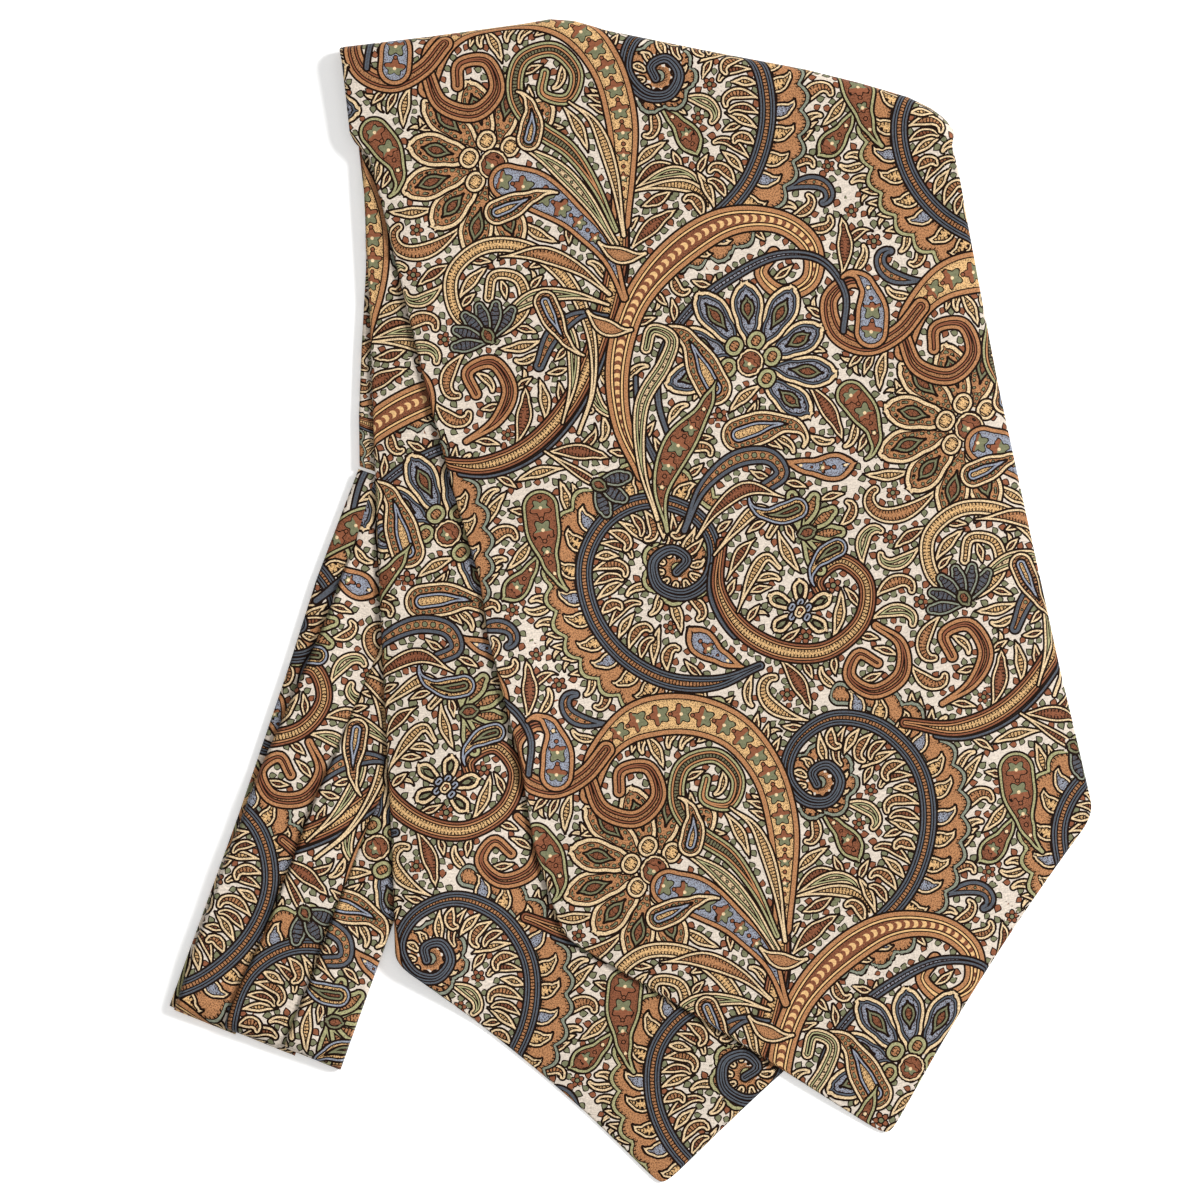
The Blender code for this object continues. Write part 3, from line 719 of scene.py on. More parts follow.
def corner_views(fine, coarse):
    """The two grids turned so that each corner in turn comes first."""
    return [(fine[::r, ::c], coarse[::r, ::c], r * c < 0) for r in (1, -1) for c in (1, -1)]


def closed_blade(top, low, cloth):
    """Points, faces and cloth places of a closed blade: the fine skin, every second point of
    the lower skin inside the rim, and the stitched rim."""
    rows = top.shape[0] - (top.shape[0] + 1) % 2
    top, low, cloth = top[:rows], low[:rows], cloth[:rows]
    cols = top.shape[1]
    upper = np.arange(rows * cols).reshape(rows, cols)
    under = upper[::2, ::2].copy()
    inside = low[2:-2:2, 2:-2:2]
    under[1:-1, 1:-1] = rows * cols + np.arange(inside[..., 0].size).reshape(inside.shape[:2])
    stitches = []
    for fine, coarse, flip in rim_views(upper, under):
        a, b = coarse[0, 1:-2], coarse[0, 2:-1]
        c, d, m = coarse[1, 2:-1], coarse[1, 1:-2], fine[0, 3:-3:2]
        side = np.concatenate([np.stack(t, axis=-1) for t in ((m, a, d), (m, d, c), (m, c, b))])
        stitches.append(side[:, ::-1] if flip else side)
    for fine, coarse, flip in corner_views(upper, under):
        a, b, c, d = coarse[0, 0], coarse[0, 1], coarse[1, 1], coarse[1, 0]
        m, n = fine[0, 1], fine[1, 0]
        corner = np.array([(a, n, m), (n, d, c), (n, c, m), (m, c, b)])
        stitches.append(corner[:, ::-1] if flip else corner)
    stitches = np.concatenate(stitches)
    faces = np.concatenate([grid_faces(upper), grid_faces(under[1:-1, 1:-1], turned=True),
                            np.concatenate([stitches, np.full((len(stitches), 1), -1)], axis=1)])
    points = np.concatenate([top.reshape(-1, 3), inside.reshape(-1, 3)])
    flat = np.concatenate([cloth.reshape(-1, 2), cloth[2:-2:2, 2:-2:2].reshape(-1, 2)])
    return points, faces, flat[np.where(faces < 0, faces[:, 2:3], faces)]


def joined(grids):
    """Several separate grids as one set of points, faces and cloth places."""
    points, faces, flats, count = [], [], [], 0
    for grid, flat in grids:
        index = count + np.arange(grid[..., 0].size).reshape(grid.shape[:2])
        points.append(grid.reshape(-1, 3))
        faces.append(grid_faces(index))
        flats.append(flat.reshape(-1, 2))
        count += grid[..., 0].size
    faces = np.concatenate(faces)
    return np.concatenate(points), faces, np.concatenate(flats)[faces]


def closed_pad(grid, flat):
    """A pad's rows joined round, with its first and last rows filled by fans of quads."""
    count, around = grid.shape[:2]
    index = np.arange(count * around).reshape(count, around)
    ring = np.concatenate([index, index[:, :1]], axis=1)
    faces = grid_faces(ring)
    flat_round = np.concatenate([flat, flat[:, -1:]], axis=1).reshape(-1, 2)
    ring_place = np.arange(count * (around + 1)).reshape(count, around + 1)
    places = flat_round[grid_faces(ring_place)]
    half = around // 2
    for row, turned in ((index[0], True), (index[-1], False)):
        near, far = row[:half], row[::-1][:half]
        cap = np.stack([near[:-1], near[1:], far[1:], far[:-1]], axis=-1)
        cap = cap[:, ::-1] if turned else cap
        faces = np.concatenate([faces, cap])
        places = np.concatenate([places, flat.reshape(-1, 2)[cap]])
    return grid.reshape(-1, 3), faces, places


front_faces, under_faces = closed_blade(*front_skin), closed_blade(*under_skin)
for name, piece in (("front", front_faces), ("under", under_faces)):
    print(name, "blade", len(piece[0]), "points", len(piece[1]), "faces")

# %% [markdown]
# # The paisley
#
# The silk is printed all over with paisley: long scrolling stems, coiled spirals with
# scalloped borders, drop-shaped butehs, palmettes, hooks and leaf sprays on cream, with a
# tiny bud along every outline. An image would draw it, but this lesson uses none. Instead
# each motif is one pen stroke: a smooth spine, a half width that changes along it, and a
# recipe that says how its cross-section is coloured.
#
# The design repeats on a slanted lattice, as half-drop repeats do: one step is 120 mm across
# and 107 mm up, the other straight up by 214 mm.

# %% Spines
REPEAT = np.array(((120.0, 107.0), (0.0, 214.0)))
ONE_REPEAT = REPEAT.diagonal()
SPINE_STEP = 1.2
STEEPEST = 0.8            # the most that a half width changes per millimetre of its spine


def unit(heading):
    """The direction of a heading in degrees: (cos, sin)."""
    way = np.radians(heading)
    return np.array((np.cos(way), np.sin(way)))


def heading_of(way):
    """The heading in degrees of a direction."""
    return np.degrees(np.arctan2(way[1], way[0]))


def even(points, step=SPINE_STEP):
    """A line walked in equal steps: distances along it are summed, then read at even stops."""
    points = np.asarray(points, float)
    gone = np.concatenate([[0.0], np.cumsum(np.hypot(*np.diff(points, axis=0).T))])
    stops = np.linspace(0.0, gone[-1], max(int(round(gone[-1] / step)), 4) + 1)
    return np.stack([np.interp(stops, gone, points[:, axis]) for axis in (0, 1)], axis=-1)


def curve(*points):
    """A smooth line through given points: between two of them a cubic whose slope at each
    runs parallel to the line between its neighbours (Catmull-Rom)."""
    p = np.asarray(points, float)
    p = np.concatenate([[2 * p[0] - p[1]], p, [2 * p[-1] - p[-2]]])
    t = np.linspace(0.0, 1.0, 13)[:-1, None, None]
    a, b, c, d = p[:-3], p[1:-2], p[2:-1], p[3:]
    spans = 0.5 * (2 * b + (c - a) * t + (2 * a - 5 * b + 4 * c - d) * t ** 2
                   + (3 * b - a - 3 * c + d) * t ** 3)
    line = spans.transpose(1, 0, 2).reshape(-1, 2)
    return even(np.concatenate([line, p[-2:-1]]))


def walk(start, heading, length, turn, curl=0.0):
    """A line that leaves start at a heading in degrees and turns as it goes: heading + turn t
    + curl t^4, summed step by step. Leaves bend by turn, hooks close by curl."""
    start = np.array(start, float)
    count = max(int(length), 5)
    t = (np.arange(count) + 0.5) / count
    way = np.radians(heading + turn * t + curl * t ** 4)
    steps = np.stack([np.cos(way), np.sin(way)], axis=-1) * length / count
    return np.concatenate([[start], start + np.cumsum(steps, axis=0)])


def swell(spine, *stations):
    """Half widths along a spine, eased between stations of (share of the length, half width).
    None may differ from another by more than the steepest slope allows between them, or the
    outline would overtake its own point."""
    t = np.linspace(0.0, 1.0, len(spine))
    at = np.array(stations, float)
    step = np.clip(np.searchsorted(at[:, 0], t, side="right") - 1, 0, len(at) - 2)
    share = (t - at[step, 0]) / (at[step + 1, 0] - at[step, 0])
    half = mix(at[step, 1], at[step + 1, 1], smooth(share))
    gone = t * np.hypot(*np.diff(spine, axis=0).T).sum()
    return (half + STEEPEST * np.abs(gone[:, None] - gone)).min(axis=1)

# %% [markdown]
# ## Recipes
#
# A recipe names what a stroke shows from its outline inwards: a band, a second band, then
# the filling. Real paisley is engraved that way, with a dark line between all of them. The
# filling can be plain or carry ticks, beads, crescents, flowers, spots or ribs along the
# spine. Widths are in millimetres.

# %% Colours of the dyes and recipes of the strokes
DYES = {
    "cream": (0.590, 0.517, 0.443), "straw": (0.69, 0.51, 0.300), "gold": (0.65, 0.405, 0.182),
    "tan": (0.405, 0.190, 0.084), "rust": (0.220, 0.078, 0.038), "umber": (0.055, 0.022, 0.011),
    "sage": (0.160, 0.162, 0.090), "leaf": (0.34, 0.325, 0.165), "slate": (0.078, 0.091, 0.110),
    "sky": (0.260, 0.283, 0.340), "mist": (0.215, 0.235, 0.178), "ink": (0.009, 0.0032, 0.0012),
}
FILLINGS = ("plain", "ticks", "beads", "crescents", "flowers", "spots", "ribs", "edge ticks",
            "edge beads")
# name: (band, its width, second band, its width, filling's dye, filling)
RECIPES = {
    "gold stem": ("rust", 0.45, "tan", 0.38, "gold", "ticks"),
    "slate stem": ("slate", 0.48, "slate", 0.40, "tan", "ticks"),
    "arch": ("tan", 1.10, "gold", 0.50, "rust", "crescents"),
    "wide arch": ("tan", 1.20, "gold", 0.0, "gold", "flowers"),
    "gold line": ("straw", 0.55, "gold", 0.0, "gold", "ticks"),
    "green line": ("leaf", 0.55, "tan", 0.45, "sage", "edge ticks"),
    "slate line": ("slate", 0.55, "sky", 0.0, "sky", "ribs"),
    "scallop": ("leaf", 0.90, "tan", 0.0, "tan", "edge ticks"),
    "mist scallop": ("mist", 0.85, "tan", 0.0, "tan", "edge ticks"),
    "tan petal": ("straw", 0.85, "gold", 0.0, "tan", "edge beads"),
    "gold petal": ("straw", 0.65, "gold", 0.0, "gold", "edge ticks"),
    "green petal": ("straw", 0.75, "sage", 0.6, "tan", "edge ticks"),
    "slate petal": ("straw", 0.70, "slate", 0.40, "sky", "spots"),
    "gold flame": ("straw", 0.45, "gold", 0.0, "gold", "edge ticks"),
    "sky flame": ("straw", 0.45, "sky", 0.0, "sky", "spots"),
    "heart": ("sage", 0.50, "rust", 0.0, "rust", "spots"),
    "cream leaf": ("straw", 0.55, "straw", 0.0, "gold", "ticks"),
    "bead leaf": ("straw", 0.50, "leaf", 0.35, "straw", "beads"),
    "tan leaf": ("straw", 0.50, "tan", 0.0, "tan", "edge ticks"),
    "rust leaf": ("straw", 0.42, "rust", 0.0, "rust", "edge ticks"),
    "green buteh": ("leaf", 0.60, "rust", 0.0, "rust", "flowers"),
    "tan buteh": ("straw", 0.60, "sage", 0.0, "tan", "edge beads"),
    "sky buteh": ("tan", 0.95, "sky", 0.0, "sky", "flowers"),
    "slate hook": ("slate", 0.85, "straw", 0.0, "tan", "beads"),
    "rust hook": ("tan", 0.85, "rust", 0.40, "tan", "plain"),
    "inner sky": ("sky", 0.45, "gold", 0.0, "gold", "spots"),
    "plain slate": ("mist", 0.45, "slate", 0.0, "slate", "ribs"),
    "knot": ("straw", 0.50, "tan", 0.0, "tan", "plain"),
    "flower disc": ("straw", 0.45, "rust", 0.0, "rust", "flowers"),
}
RECIPE_NUMBER = {name: number for number, name in enumerate(RECIPES)}
print(len(RECIPES), "recipes")

# %% The list of strokes and a map of free ground
strokes = []
MAP_STEP = 0.5
MAP_REACH = 9.0           # how far round a stroke the map is lowered
FAR = 99.0
SCALLOP_RISE, SCALLOP_DIP = 0.6, 0.4       # of its depth, past and inside the half width
map_shape = (int(ONE_REPEAT[0] / MAP_STEP), int(ONE_REPEAT[1] / MAP_STEP))
map_u, map_v = np.meshgrid(*[(np.arange(size) + 0.5) * MAP_STEP for size in map_shape],
                           indexing="ij")
free_ground = np.full(map_shape, FAR)


def reach_of(points, spine, half):
    """Signed distance from points to a stroke, negative inside: the least, over the spine's
    straight pieces, of the distance to the piece less its half width there."""
    start, run = spine[:-1], np.diff(spine, axis=0)
    offset = points[:, None, :] - start
    share = np.clip((offset * run).sum(-1) / np.maximum((run * run).sum(-1), 1e-9), 0.0, 1.0)
    gap = np.hypot(offset[..., 0] - share * run[:, 0], offset[..., 1] - share * run[:, 1])
    gap = gap - (half[:-1] + share * np.diff(half))
    best = gap.argmin(1)
    return gap[np.arange(len(points)), best], best


def shifts_over(low, high, over_low, over_high):
    """The repeats (as shifts) that bring a box low-high over another box."""
    found = []
    for i in range(-6, 7):
        for j in range(-8, 9):
            shift = i * REPEAT[0] + j * REPEAT[1]
            if np.all(low + shift < over_high) and np.all(high + shift > over_low):
                found.append(shift)
    return found


def widest(stroke):
    """A stroke's half widths with its scallops at their highest."""
    return stroke["half"] + stroke["scallop"][0] * SCALLOP_RISE


def pieces(spine, size):
    """Parts of a spine, that many steps long, each ending where the next one starts."""
    return [slice(first, min(first + size + 1, len(spine)))
            for first in range(0, len(spine) - 1, size)]


def mark_ground(stroke):
    """Lowers the map of free ground round a stroke, in every repeat that reaches the map."""
    spine, half = stroke["spine"], widest(stroke)
    low, high = spine.min(0) - MAP_REACH, spine.max(0) + MAP_REACH
    for shift in shifts_over(low, high, np.zeros(2), ONE_REPEAT):
        for piece in pieces(spine, 8):
            line = spine[piece] + shift
            i0, j0 = np.maximum(((line.min(0) - MAP_REACH) / MAP_STEP).astype(int), 0)
            i1, j1 = np.minimum(((line.max(0) + MAP_REACH) / MAP_STEP).astype(int) + 1, map_shape)
            if i1 <= i0 or j1 <= j0:
                continue
            window = (slice(i0, i1), slice(j0, j1))
            points = np.stack([map_u[window].ravel(), map_v[window].ravel()], axis=-1)
            gap, _ = reach_of(points, line, half[piece])
            gap = gap.reshape(free_ground[window].shape)
            free_ground[window] = np.minimum(free_ground[window], gap)


def into_repeat(points):
    """Points moved back into the first repeat, as their across and their up."""
    across = np.floor(points[..., 0] / REPEAT[0, 0])
    return (points[..., 0] - across * REPEAT[0, 0],
            np.mod(points[..., 1] - across * REPEAT[0, 1], REPEAT[1, 1]))


def free_at(points):
    """The map of free ground read at any points."""
    u, v = into_repeat(points)
    return free_ground[np.minimum((u / MAP_STEP).astype(int), map_shape[0] - 1),
                       np.minimum((v / MAP_STEP).astype(int), map_shape[1] - 1)]


def covered():
    """The part of the ground that strokes cover, in percent."""
    return round(100 * float((free_ground < 0).mean()))


def draw(recipe, spine, half, scallop=(0.0, 4.0, 0), marks=True, under=False):
    """Adds one stroke on top of those before it, or under them all. scallop is (depth,
    length, side). A stroke without marks lies inside another and gets no buds."""
    half = np.broadcast_to(np.asarray(half, float), (len(spine),)).copy()
    stroke = {"recipe": RECIPE_NUMBER[recipe], "spine": spine, "half": half,
              "scallop": scallop, "buds": marks}
    strokes.insert(0 if under else len(strokes), stroke)
    if marks:
        mark_ground(stroke)


def sides_of(spine):
    """Unit tangents and left normals along a spine."""
    tangent = np.gradient(spine, axis=0)
    tangent /= np.maximum(np.hypot(*tangent.T), 1e-9)[:, None]
    return tangent, np.stack([-tangent[:, 1], tangent[:, 0]], axis=-1)

# %% [markdown]
# ## Motifs
#
# Each kind of motif is a small function that draws a few strokes: a leaf, a ribbon through
# given points, a buteh with a smaller one inside it, a palmette as a fan of petals, a row
# of flames along a stem, a fan flower. Their sizes are those of a printed cravat: a palmette
# is 50 mm wide, a buteh 20 to 30 mm long, a leaf 10 to 25 mm.

# %% Motif functions
def leaf_width(spine, fat, curl):
    """Half widths of a leaf: thin stalk, widest past the middle, a point or a small knob. A
    fat one is a drop, widest near its short point."""
    if fat > 3.0:
        return swell(spine, (0, 0.35), (0.4, 0.6 * fat), (0.72, fat), (0.88, 0.62 * fat), (1, 0.12))
    end = 0.55 * fat if curl else 0.12
    return swell(spine, (0, 0.3), (0.55, fat), (0.82, mix(fat, end, 0.45)), (1, end))


def leaf(recipe, start, heading, length, turn, fat, curl):
    """A leaf that bends by turn and, where it has a curl, ends in a hook."""
    spine = walk(start, heading, length, turn, curl)
    draw(recipe, spine, leaf_width(spine, fat, curl))


def ribbon(recipe, points, *widths):
    """A stroke through given points, with its half widths at shares of its length."""
    line = curve(*points)
    draw(recipe, line, swell(line, *widths))


def dot(centre):
    """A spine so short that a stroke on it is a disc."""
    return even((centre - 0.3, centre + 0.3), 0.2)


def buteh(recipe, start, heading, length, turn, fat, curl, inner="inner sky"):
    """A drop: its round end at start, narrowing to a tip that curls over, with a smaller drop
    inside on the same spine."""
    spine = walk(start, heading, length, turn, curl)
    draw(recipe, spine, swell(spine, (0, fat), (0.22, fat), (0.62, 0.52 * fat),
                              (0.86, 0.24 * fat), (1, 0.14 * fat)))
    if inner:
        core = spine[:int(len(spine) * 0.62)]
        draw(inner, core, swell(core, (0, 0.42 * fat), (0.3, 0.42 * fat), (0.8, 0.16 * fat),
                                (1, 0.05)), marks=False)


def petal(recipe, start, heading, length, fat, heart):
    """A petal: a stalk that swells late to a blunt point. heart is a second stroke inside."""
    spine = walk(start, heading, length, 6.0)
    draw(recipe, spine, swell(spine, (0, 0.4 * fat), (0.35, 0.8 * fat), (0.66, fat),
                              (0.84, 0.80 * fat), (1, 0.30 * fat)))
    core = spine[int(len(spine) * 0.3):int(len(spine) * 0.86)]
    draw(heart, core, swell(core, (0, 0.15), (0.55, 0.42 * fat), (1, 0.12)), marks=False)


def flame(recipe, start, heading, length, fat, bend):
    """A flame: widest near its foot, its point bent over."""
    spine = walk(start, heading - 0.3 * bend, length, bend, bend)
    width = swell(spine, (0, 0.7 * fat), (0.35, fat), (0.7, 0.55 * fat), (1, 0.15))
    draw(recipe, spine, width, marks=False)


def palmette(centre, heading, count, spread, length, fat, recipe, heart, ring):
    """A fan of petals about a heading, a ring of five discs over their stalks, and a disc
    with a flower. Even petals are a little shorter, and the middle of the fan lies on top."""
    centre = np.array(centre, float)
    for i in sorted(range(count), key=lambda i: -abs(i - (count - 1) / 2)):
        way = heading + spread * (i / (count - 1) - 0.5)
        petal(recipe, centre + 0.26 * length * unit(way), way,
              length * (0.74 if i % 2 else 0.66), fat, heart)
    for way in heading + spread * (np.arange(5) / 4 - 0.5):
        draw(ring, dot(centre + 0.27 * length * unit(way)), 0.105 * length, marks=False)
    draw("flower disc", dot(centre), 0.15 * length, (0.4, 2.2, 0))


def flame_row(stem, recipes, first, last, every, length, fat, lean, side, off):
    """Flames standing on one side of a stem, every so many millimetres."""
    _, normal = sides_of(stem)
    gone = np.arange(len(stem)) * np.hypot(*np.diff(stem, axis=0).T).mean()
    for number, at in enumerate(np.arange(first, min(last, gone[-1]), every)):
        i = int(np.searchsorted(gone, at))
        flame(recipes[number % len(recipes)], stem[i] + normal[i] * side * off,
              heading_of(normal[i] * side) + lean * side, length, fat, -48.0 * side)


def fan_flower(centre, heading, count, spread, length, fat, recipe, cap):
    """Plain blunt petals in a tight fan with a small cap at their foot."""
    for i in range(count):
        way = heading + spread * (i / (count - 1) - 0.5)
        spine = walk(centre, way, length, 0.0)
        draw(recipe, spine, swell(spine, (0, 0.4), (0.75, fat), (1, 0.7 * fat)))
    foot = walk(centre, heading, length * 0.4, 0.0)
    draw(cap, foot, swell(foot, (0, 0.8), (0.6, fat * 1.2), (1, 0.6)), marks=False)


def bundle(foot, recipes, lengths, heading, fan, turn, fat, curl):
    """Long leaves that leave one foot side by side and bend the same way."""
    for number, length in enumerate(lengths):
        way = heading + fan * (number / (len(lengths) - 1) - 0.5)
        spine = walk(foot, way, length, turn * (0.85 + 0.1 * number), curl)
        width = swell(spine, (0, 0.5), (0.62, fat), (0.88, 0.7 * fat), (1, 0.6 * fat))
        draw(recipes[number % len(recipes)], spine, width, under=True)

# %% [markdown]
# ## The large motifs of one repeat
#
# These are listed one by one, in millimetres, in the order they are painted: what is drawn later
# lies on top. The design has one long vine. A gold stem with two knots turns into an arch
# with hooked ends; a slate stem leaves it and coils into a snail with a scalloped border; a
# second snail starts a broad arch that climbs and curls over.

# %% Two snails with scalloped borders
FLAMES = ("gold flame", "sky flame", "gold flame")
SNAIL_LEAVES = (("tan leaf", 1.9, -120.0), ("cream leaf", 1.7, 0.0), ("rust leaf", 1.6, -60.0))
LEAF_LENGTHS = (10.5, 13.5, 8.5, 12.0)
BORDER_DEPTH = 5.2
BORDER_SHAPE = ((0, 0.45), (0.15, 1.0), (0.75, 0.92), (1, 0.55))


def snail(points, border, side, recipe, eye, eye_radius):
    """A coiled slate stem. Its scalloped border is the stem's own line moved out by the
    border's depth, from one share of its length to another. Flames stand on the border,
    leaves inside the coil, and a scalloped ring with its own flames is the coil's eye."""
    stem, eye = curve(*points), np.array(eye)
    _, normal = sides_of(stem)
    first, last = [int(share * len(stem)) for share in border]
    rim = even(stem[first:last] + side * normal[first:last] * (BORDER_DEPTH + 1.2))
    draw(recipe, rim, swell(rim, *((at, share * BORDER_DEPTH) for at, share in BORDER_SHAPE)),
         (2.4, 7.2, side))
    flame_row(stem, FLAMES, first * SPINE_STEP + 4.0, last * SPINE_STEP - 3.0, 6.6,
              1.75 * BORDER_DEPTH, 2.6, -10.0, side, 0.6)
    around = np.linspace(0, 2 * pi, 40)[:, None]
    ring = eye + 0.55 * eye_radius * np.concatenate([np.cos(around), np.sin(around)], axis=1)
    draw(recipe, ring, 0.5 * eye_radius, (2.2, 5.1, -1))
    for way in np.arange(0.0, 360.0, 36.0):
        flame(FLAMES[0], eye + 0.48 * eye_radius * unit(way), way, 0.5 * eye_radius, 1.5, 60.0)
    for number, at in enumerate(np.arange(int(0.16 * len(stem)), int(0.70 * len(stem)), 4)):
        inward = -side * normal[at]
        name, fat, curl = SNAIL_LEAVES[number % len(SNAIL_LEAVES)]
        leaf(name, stem[at] + inward * 1.5, heading_of(inward) + 30.0 * side,
             LEAF_LENGTHS[number % len(LEAF_LENGTHS)], -26.0 * side, fat, curl * side)
    draw("slate stem", stem, swell(stem, (0, 1.2), (0.12, 2.5), (0.55, 2.4), (0.8, 1.9), (1, 1.3)))


snail(((-17, 47), (-6, 55), (9, 60), (23, 70), (32, 86), (33, 103), (25, 117), (12, 123), (0, 119),
       (-5.5, 110), (-2, 101.5), (5, 99.5), (9.5, 104.5), (7, 110), (2, 109), (2.5, 105)),
      (0.10, 0.64), -1, "mist scallop", (3.5, 105.5), 10.0)
snail(((-6, 143), (-20, 141), (-34, 145), (-45, 155), (-51, 169), (-50, 184), (-41, 195),
       (-28, 198), (-16, 192), (-11.5, 182), (-15, 172), (-23, 168.5), (-30, 172.5), (-30, 180),
       (-24, 182.5), (-20, 178.5), (-24, 175.5)),
      (0.08, 0.66), 1, "scallop", (-23.5, 176.5), 9.6)

# %% The vine: gold stem, knots, arch and its hooks
palmette((-50, 91), 152.0, 9, 238.0, 27.0, 5.2, "tan petal", "heart", "gold petal")
stem = curve((-88, 224), (-73, 219), (-57, 222), (-42, 233), (-30, 250), (-21, 268), (-17, 284))
draw("slate line", stem[6:] + (1.6, -3.0), 1.1)
draw("gold stem", stem, swell(stem, (0, 1.6), (0.2, 2.8), (1, 3.1)))
ribbon("wide arch", ((-17, 66), (-13, 80), (-10, 96), (-11, 112), (-18, 126), (-31, 134),
                     (-46, 135), (-58, 128), (-64, 117)),
       (0, 3.0), (0.3, 4.9), (0.72, 6.2), (0.9, 4.0), (1, 2.8))
ribbon("rust hook", ((-63, 122), (-61, 112), (-52, 107), (-44, 112), (-45, 121), (-53, 122),
                     (-55, 116)), (0, 2.2), (0.3, 2.7), (1, 1.8))
ribbon("rust hook", ((-56, 129), (-64, 123), (-74, 121), (-82, 127), (-82, 137), (-74, 141),
                     (-69, 135), (-74, 131)), (0, 2.6), (0.4, 2.9), (1, 1.8))

# %% The broad arch over the second snail, and the gold curl under it
stem = curve((-27, 206), (-30, 222), (-27, 240), (-18, 256), (-4, 267), (13, 273), (28, 270),
             (36, 261), (34, 251), (25, 249), (20, 256), (25, 261))
draw("slate line", stem[:26] + (5.4, -1.2), swell(stem[:26], (0, 1.0), (1, 0.7)))
draw("arch", stem, swell(stem, (0, 2.6), (0.3, 3.9), (0.5, 5.0), (0.7, 3.5), (1, 1.9)))
ribbon("slate line", ((-17, 212), (-18, 226), (-14, 239), (-3, 250), (12, 257), (26, 260),
                      (38, 256), (43, 245), (40, 234)), (0, 0.8), (0.5, 1.5), (1, 0.9))
stem = curve((-9, 181), (-13, 168), (-9, 155), (1, 146), (14, 143), (26, 149), (30, 160),
             (24, 168), (16, 164), (17, 158))
draw("slate line", stem[4:24] - (2.6, 1.6), 0.9)
draw("gold stem", stem, swell(stem, (0, 1.6), (0.35, 3.0), (0.8, 2.4), (1, 1.8)))
ribbon("rust hook", ((30, 147), (36, 140), (34, 131), (25, 128), (19, 134), (23, 140), (28, 136)),
       (0, 1.3), (0.4, 2.5), (1, 1.6))
ribbon("rust hook", ((44, 120), (54, 124), (60, 132), (57, 141), (49, 140), (50, 133)),
       (0, 1.0), (0.4, 2.4), (1, 1.7))

# %% The frond, the gold coil and the bundle that rises from the knots
ribbon("green line", ((-19, 64), (-22, 78), (-27, 90), (-35, 99), (-39, 109), (-35, 119),
                      (-25, 120), (-20, 112), (-24, 105), (-31, 108), (-29, 114)),
       (0, 1.0), (0.35, 2.8), (0.7, 2.4), (1, 1.5))
ribbon("gold line", ((-43, 222), (-36, 234), (-33, 250), (-36, 266), (-45, 278), (-58, 282),
                     (-69, 276), (-70, 264), (-61, 257), (-51, 261), (-50, 270), (-57, 273),
                     (-60, 267)), (0, 0.7), (0.4, 2.4), (0.8, 2.1), (1, 1.6))
ribbon("bead leaf", ((-47, 226), (-41, 238), (-39, 252), (-44, 266)), (0, 0.5), (0.5, 2.0), (1, 0.7))
ribbon("sky buteh", ((-21, 44), (-23, 58), (-30, 70), (-39, 80), (-47, 85)),
       (0, 1.3), (0.5, 4.0), (0.85, 6.2), (1, 5.6))


def lay_leaves(table):
    """Long leaves from a table: (recipe, half widths at 0, 0.6 and 1 of the length, points)."""
    for recipe, widths, points in table:
        ribbon(recipe, points, *zip((0, 0.6, 1), widths))


lay_leaves((
    ("bead leaf", (1.2, 2.6, 0.8), ((-20, 60), (-25, 74), (-32, 86), (-41, 95))),
    ("cream leaf", (0.8, 2.1, 0.5), ((-17, 62), (-16, 80), (-18, 96), (-24, 104))),
    ("tan leaf", (0.8, 2.7, 0.4), ((-25, 46), (-32, 55), (-42, 62), (-54, 64))),
    ("bead leaf", (0.6, 2.5, 0.8), ((-26, 43), (-35, 48), (-47, 50), (-60, 45))),
    ("slate hook", (0.6, 2.5, 1.7), ((-27, 40), (-35, 42), (-44, 38), (-50, 30))),
))
for x, y, way in ((-27.0, 252.0, 58.0), (-18.5, 272.0, 68.0)):
    knot = walk(np.array((x, y)) - 7.0 * unit(way + 90), way + 122, 15.0, -72.0)
    draw("knot", knot, swell(knot, (0, 0.7), (0.5, 2.7), (1, 0.7)))

# %% The slate palmette, its butehs and flowers
palmette((11, 231), 62.0, 8, 236.0, 25.0, 5.0, "slate petal", "heart", "scallop")
buteh("tan buteh", (-1, 226), 108.0, 27.0, -22.0, 5.2, 150.0)
buteh("tan buteh", (3, 211), 8.0, 25.0, -16.0, 5.2, -140.0)
ribbon("green buteh", ((-24, 188), (-23, 200), (-16, 211), (-6, 220), (0, 228)),
       (0, 0.8), (0.55, 4.8), (0.85, 2.2), (1, 0.3))
lay_leaves((
    ("bead leaf", (0.8, 2.4, 1.8), ((-26, 192), (-27, 209), (-23, 226), (-14, 236), (-10, 243),
                                    (-15, 247), (-18, 242))),
    ("slate hook", (1.0, 2.7, 2.0), ((-19, 187), (-11, 198), (0, 204), (10, 203), (13, 197),
                                     (7, 194))),
    ("rust leaf", (0.6, 2.4, 0.4), ((-16, 184), (-8, 191), (2, 195), (12, 190))),
    ("cream leaf", (0.5, 2.0, 1.2), ((-12, 178), (-4, 184), (3, 188), (8, 184), (5, 180))),
    ("rust leaf", (0.4, 1.9, 0.3), ((-10, 170), (-4, 177), (1, 180))),
    ("cream leaf", (0.4, 1.9, 0.9), ((-9, 160), (-2, 170), (3, 174), (6, 170))),
))
fan_flower((14, 178), 8.0, 6, 160.0, 12.0, 2.7, "scallop", "heart")
buteh("inner sky", (15, 186), 196.0, 17.0, -60.0, 3.4, -60.0, "heart")
buteh("inner sky", (24, 172), 190.0, 15.0, 50.0, 3.0, 60.0, "heart")
palmette((9, 156), 75.0, 5, 250.0, 10.0, 2.6, "green petal", "heart", "inner sky")
fan_flower((-62, 254), 110.0, 6, 130.0, 11.0, 2.3, "plain slate", "heart")
buteh("green buteh", (-59, 203), 262.0, 26.0, 14.0, 5.4, 30.0, None)
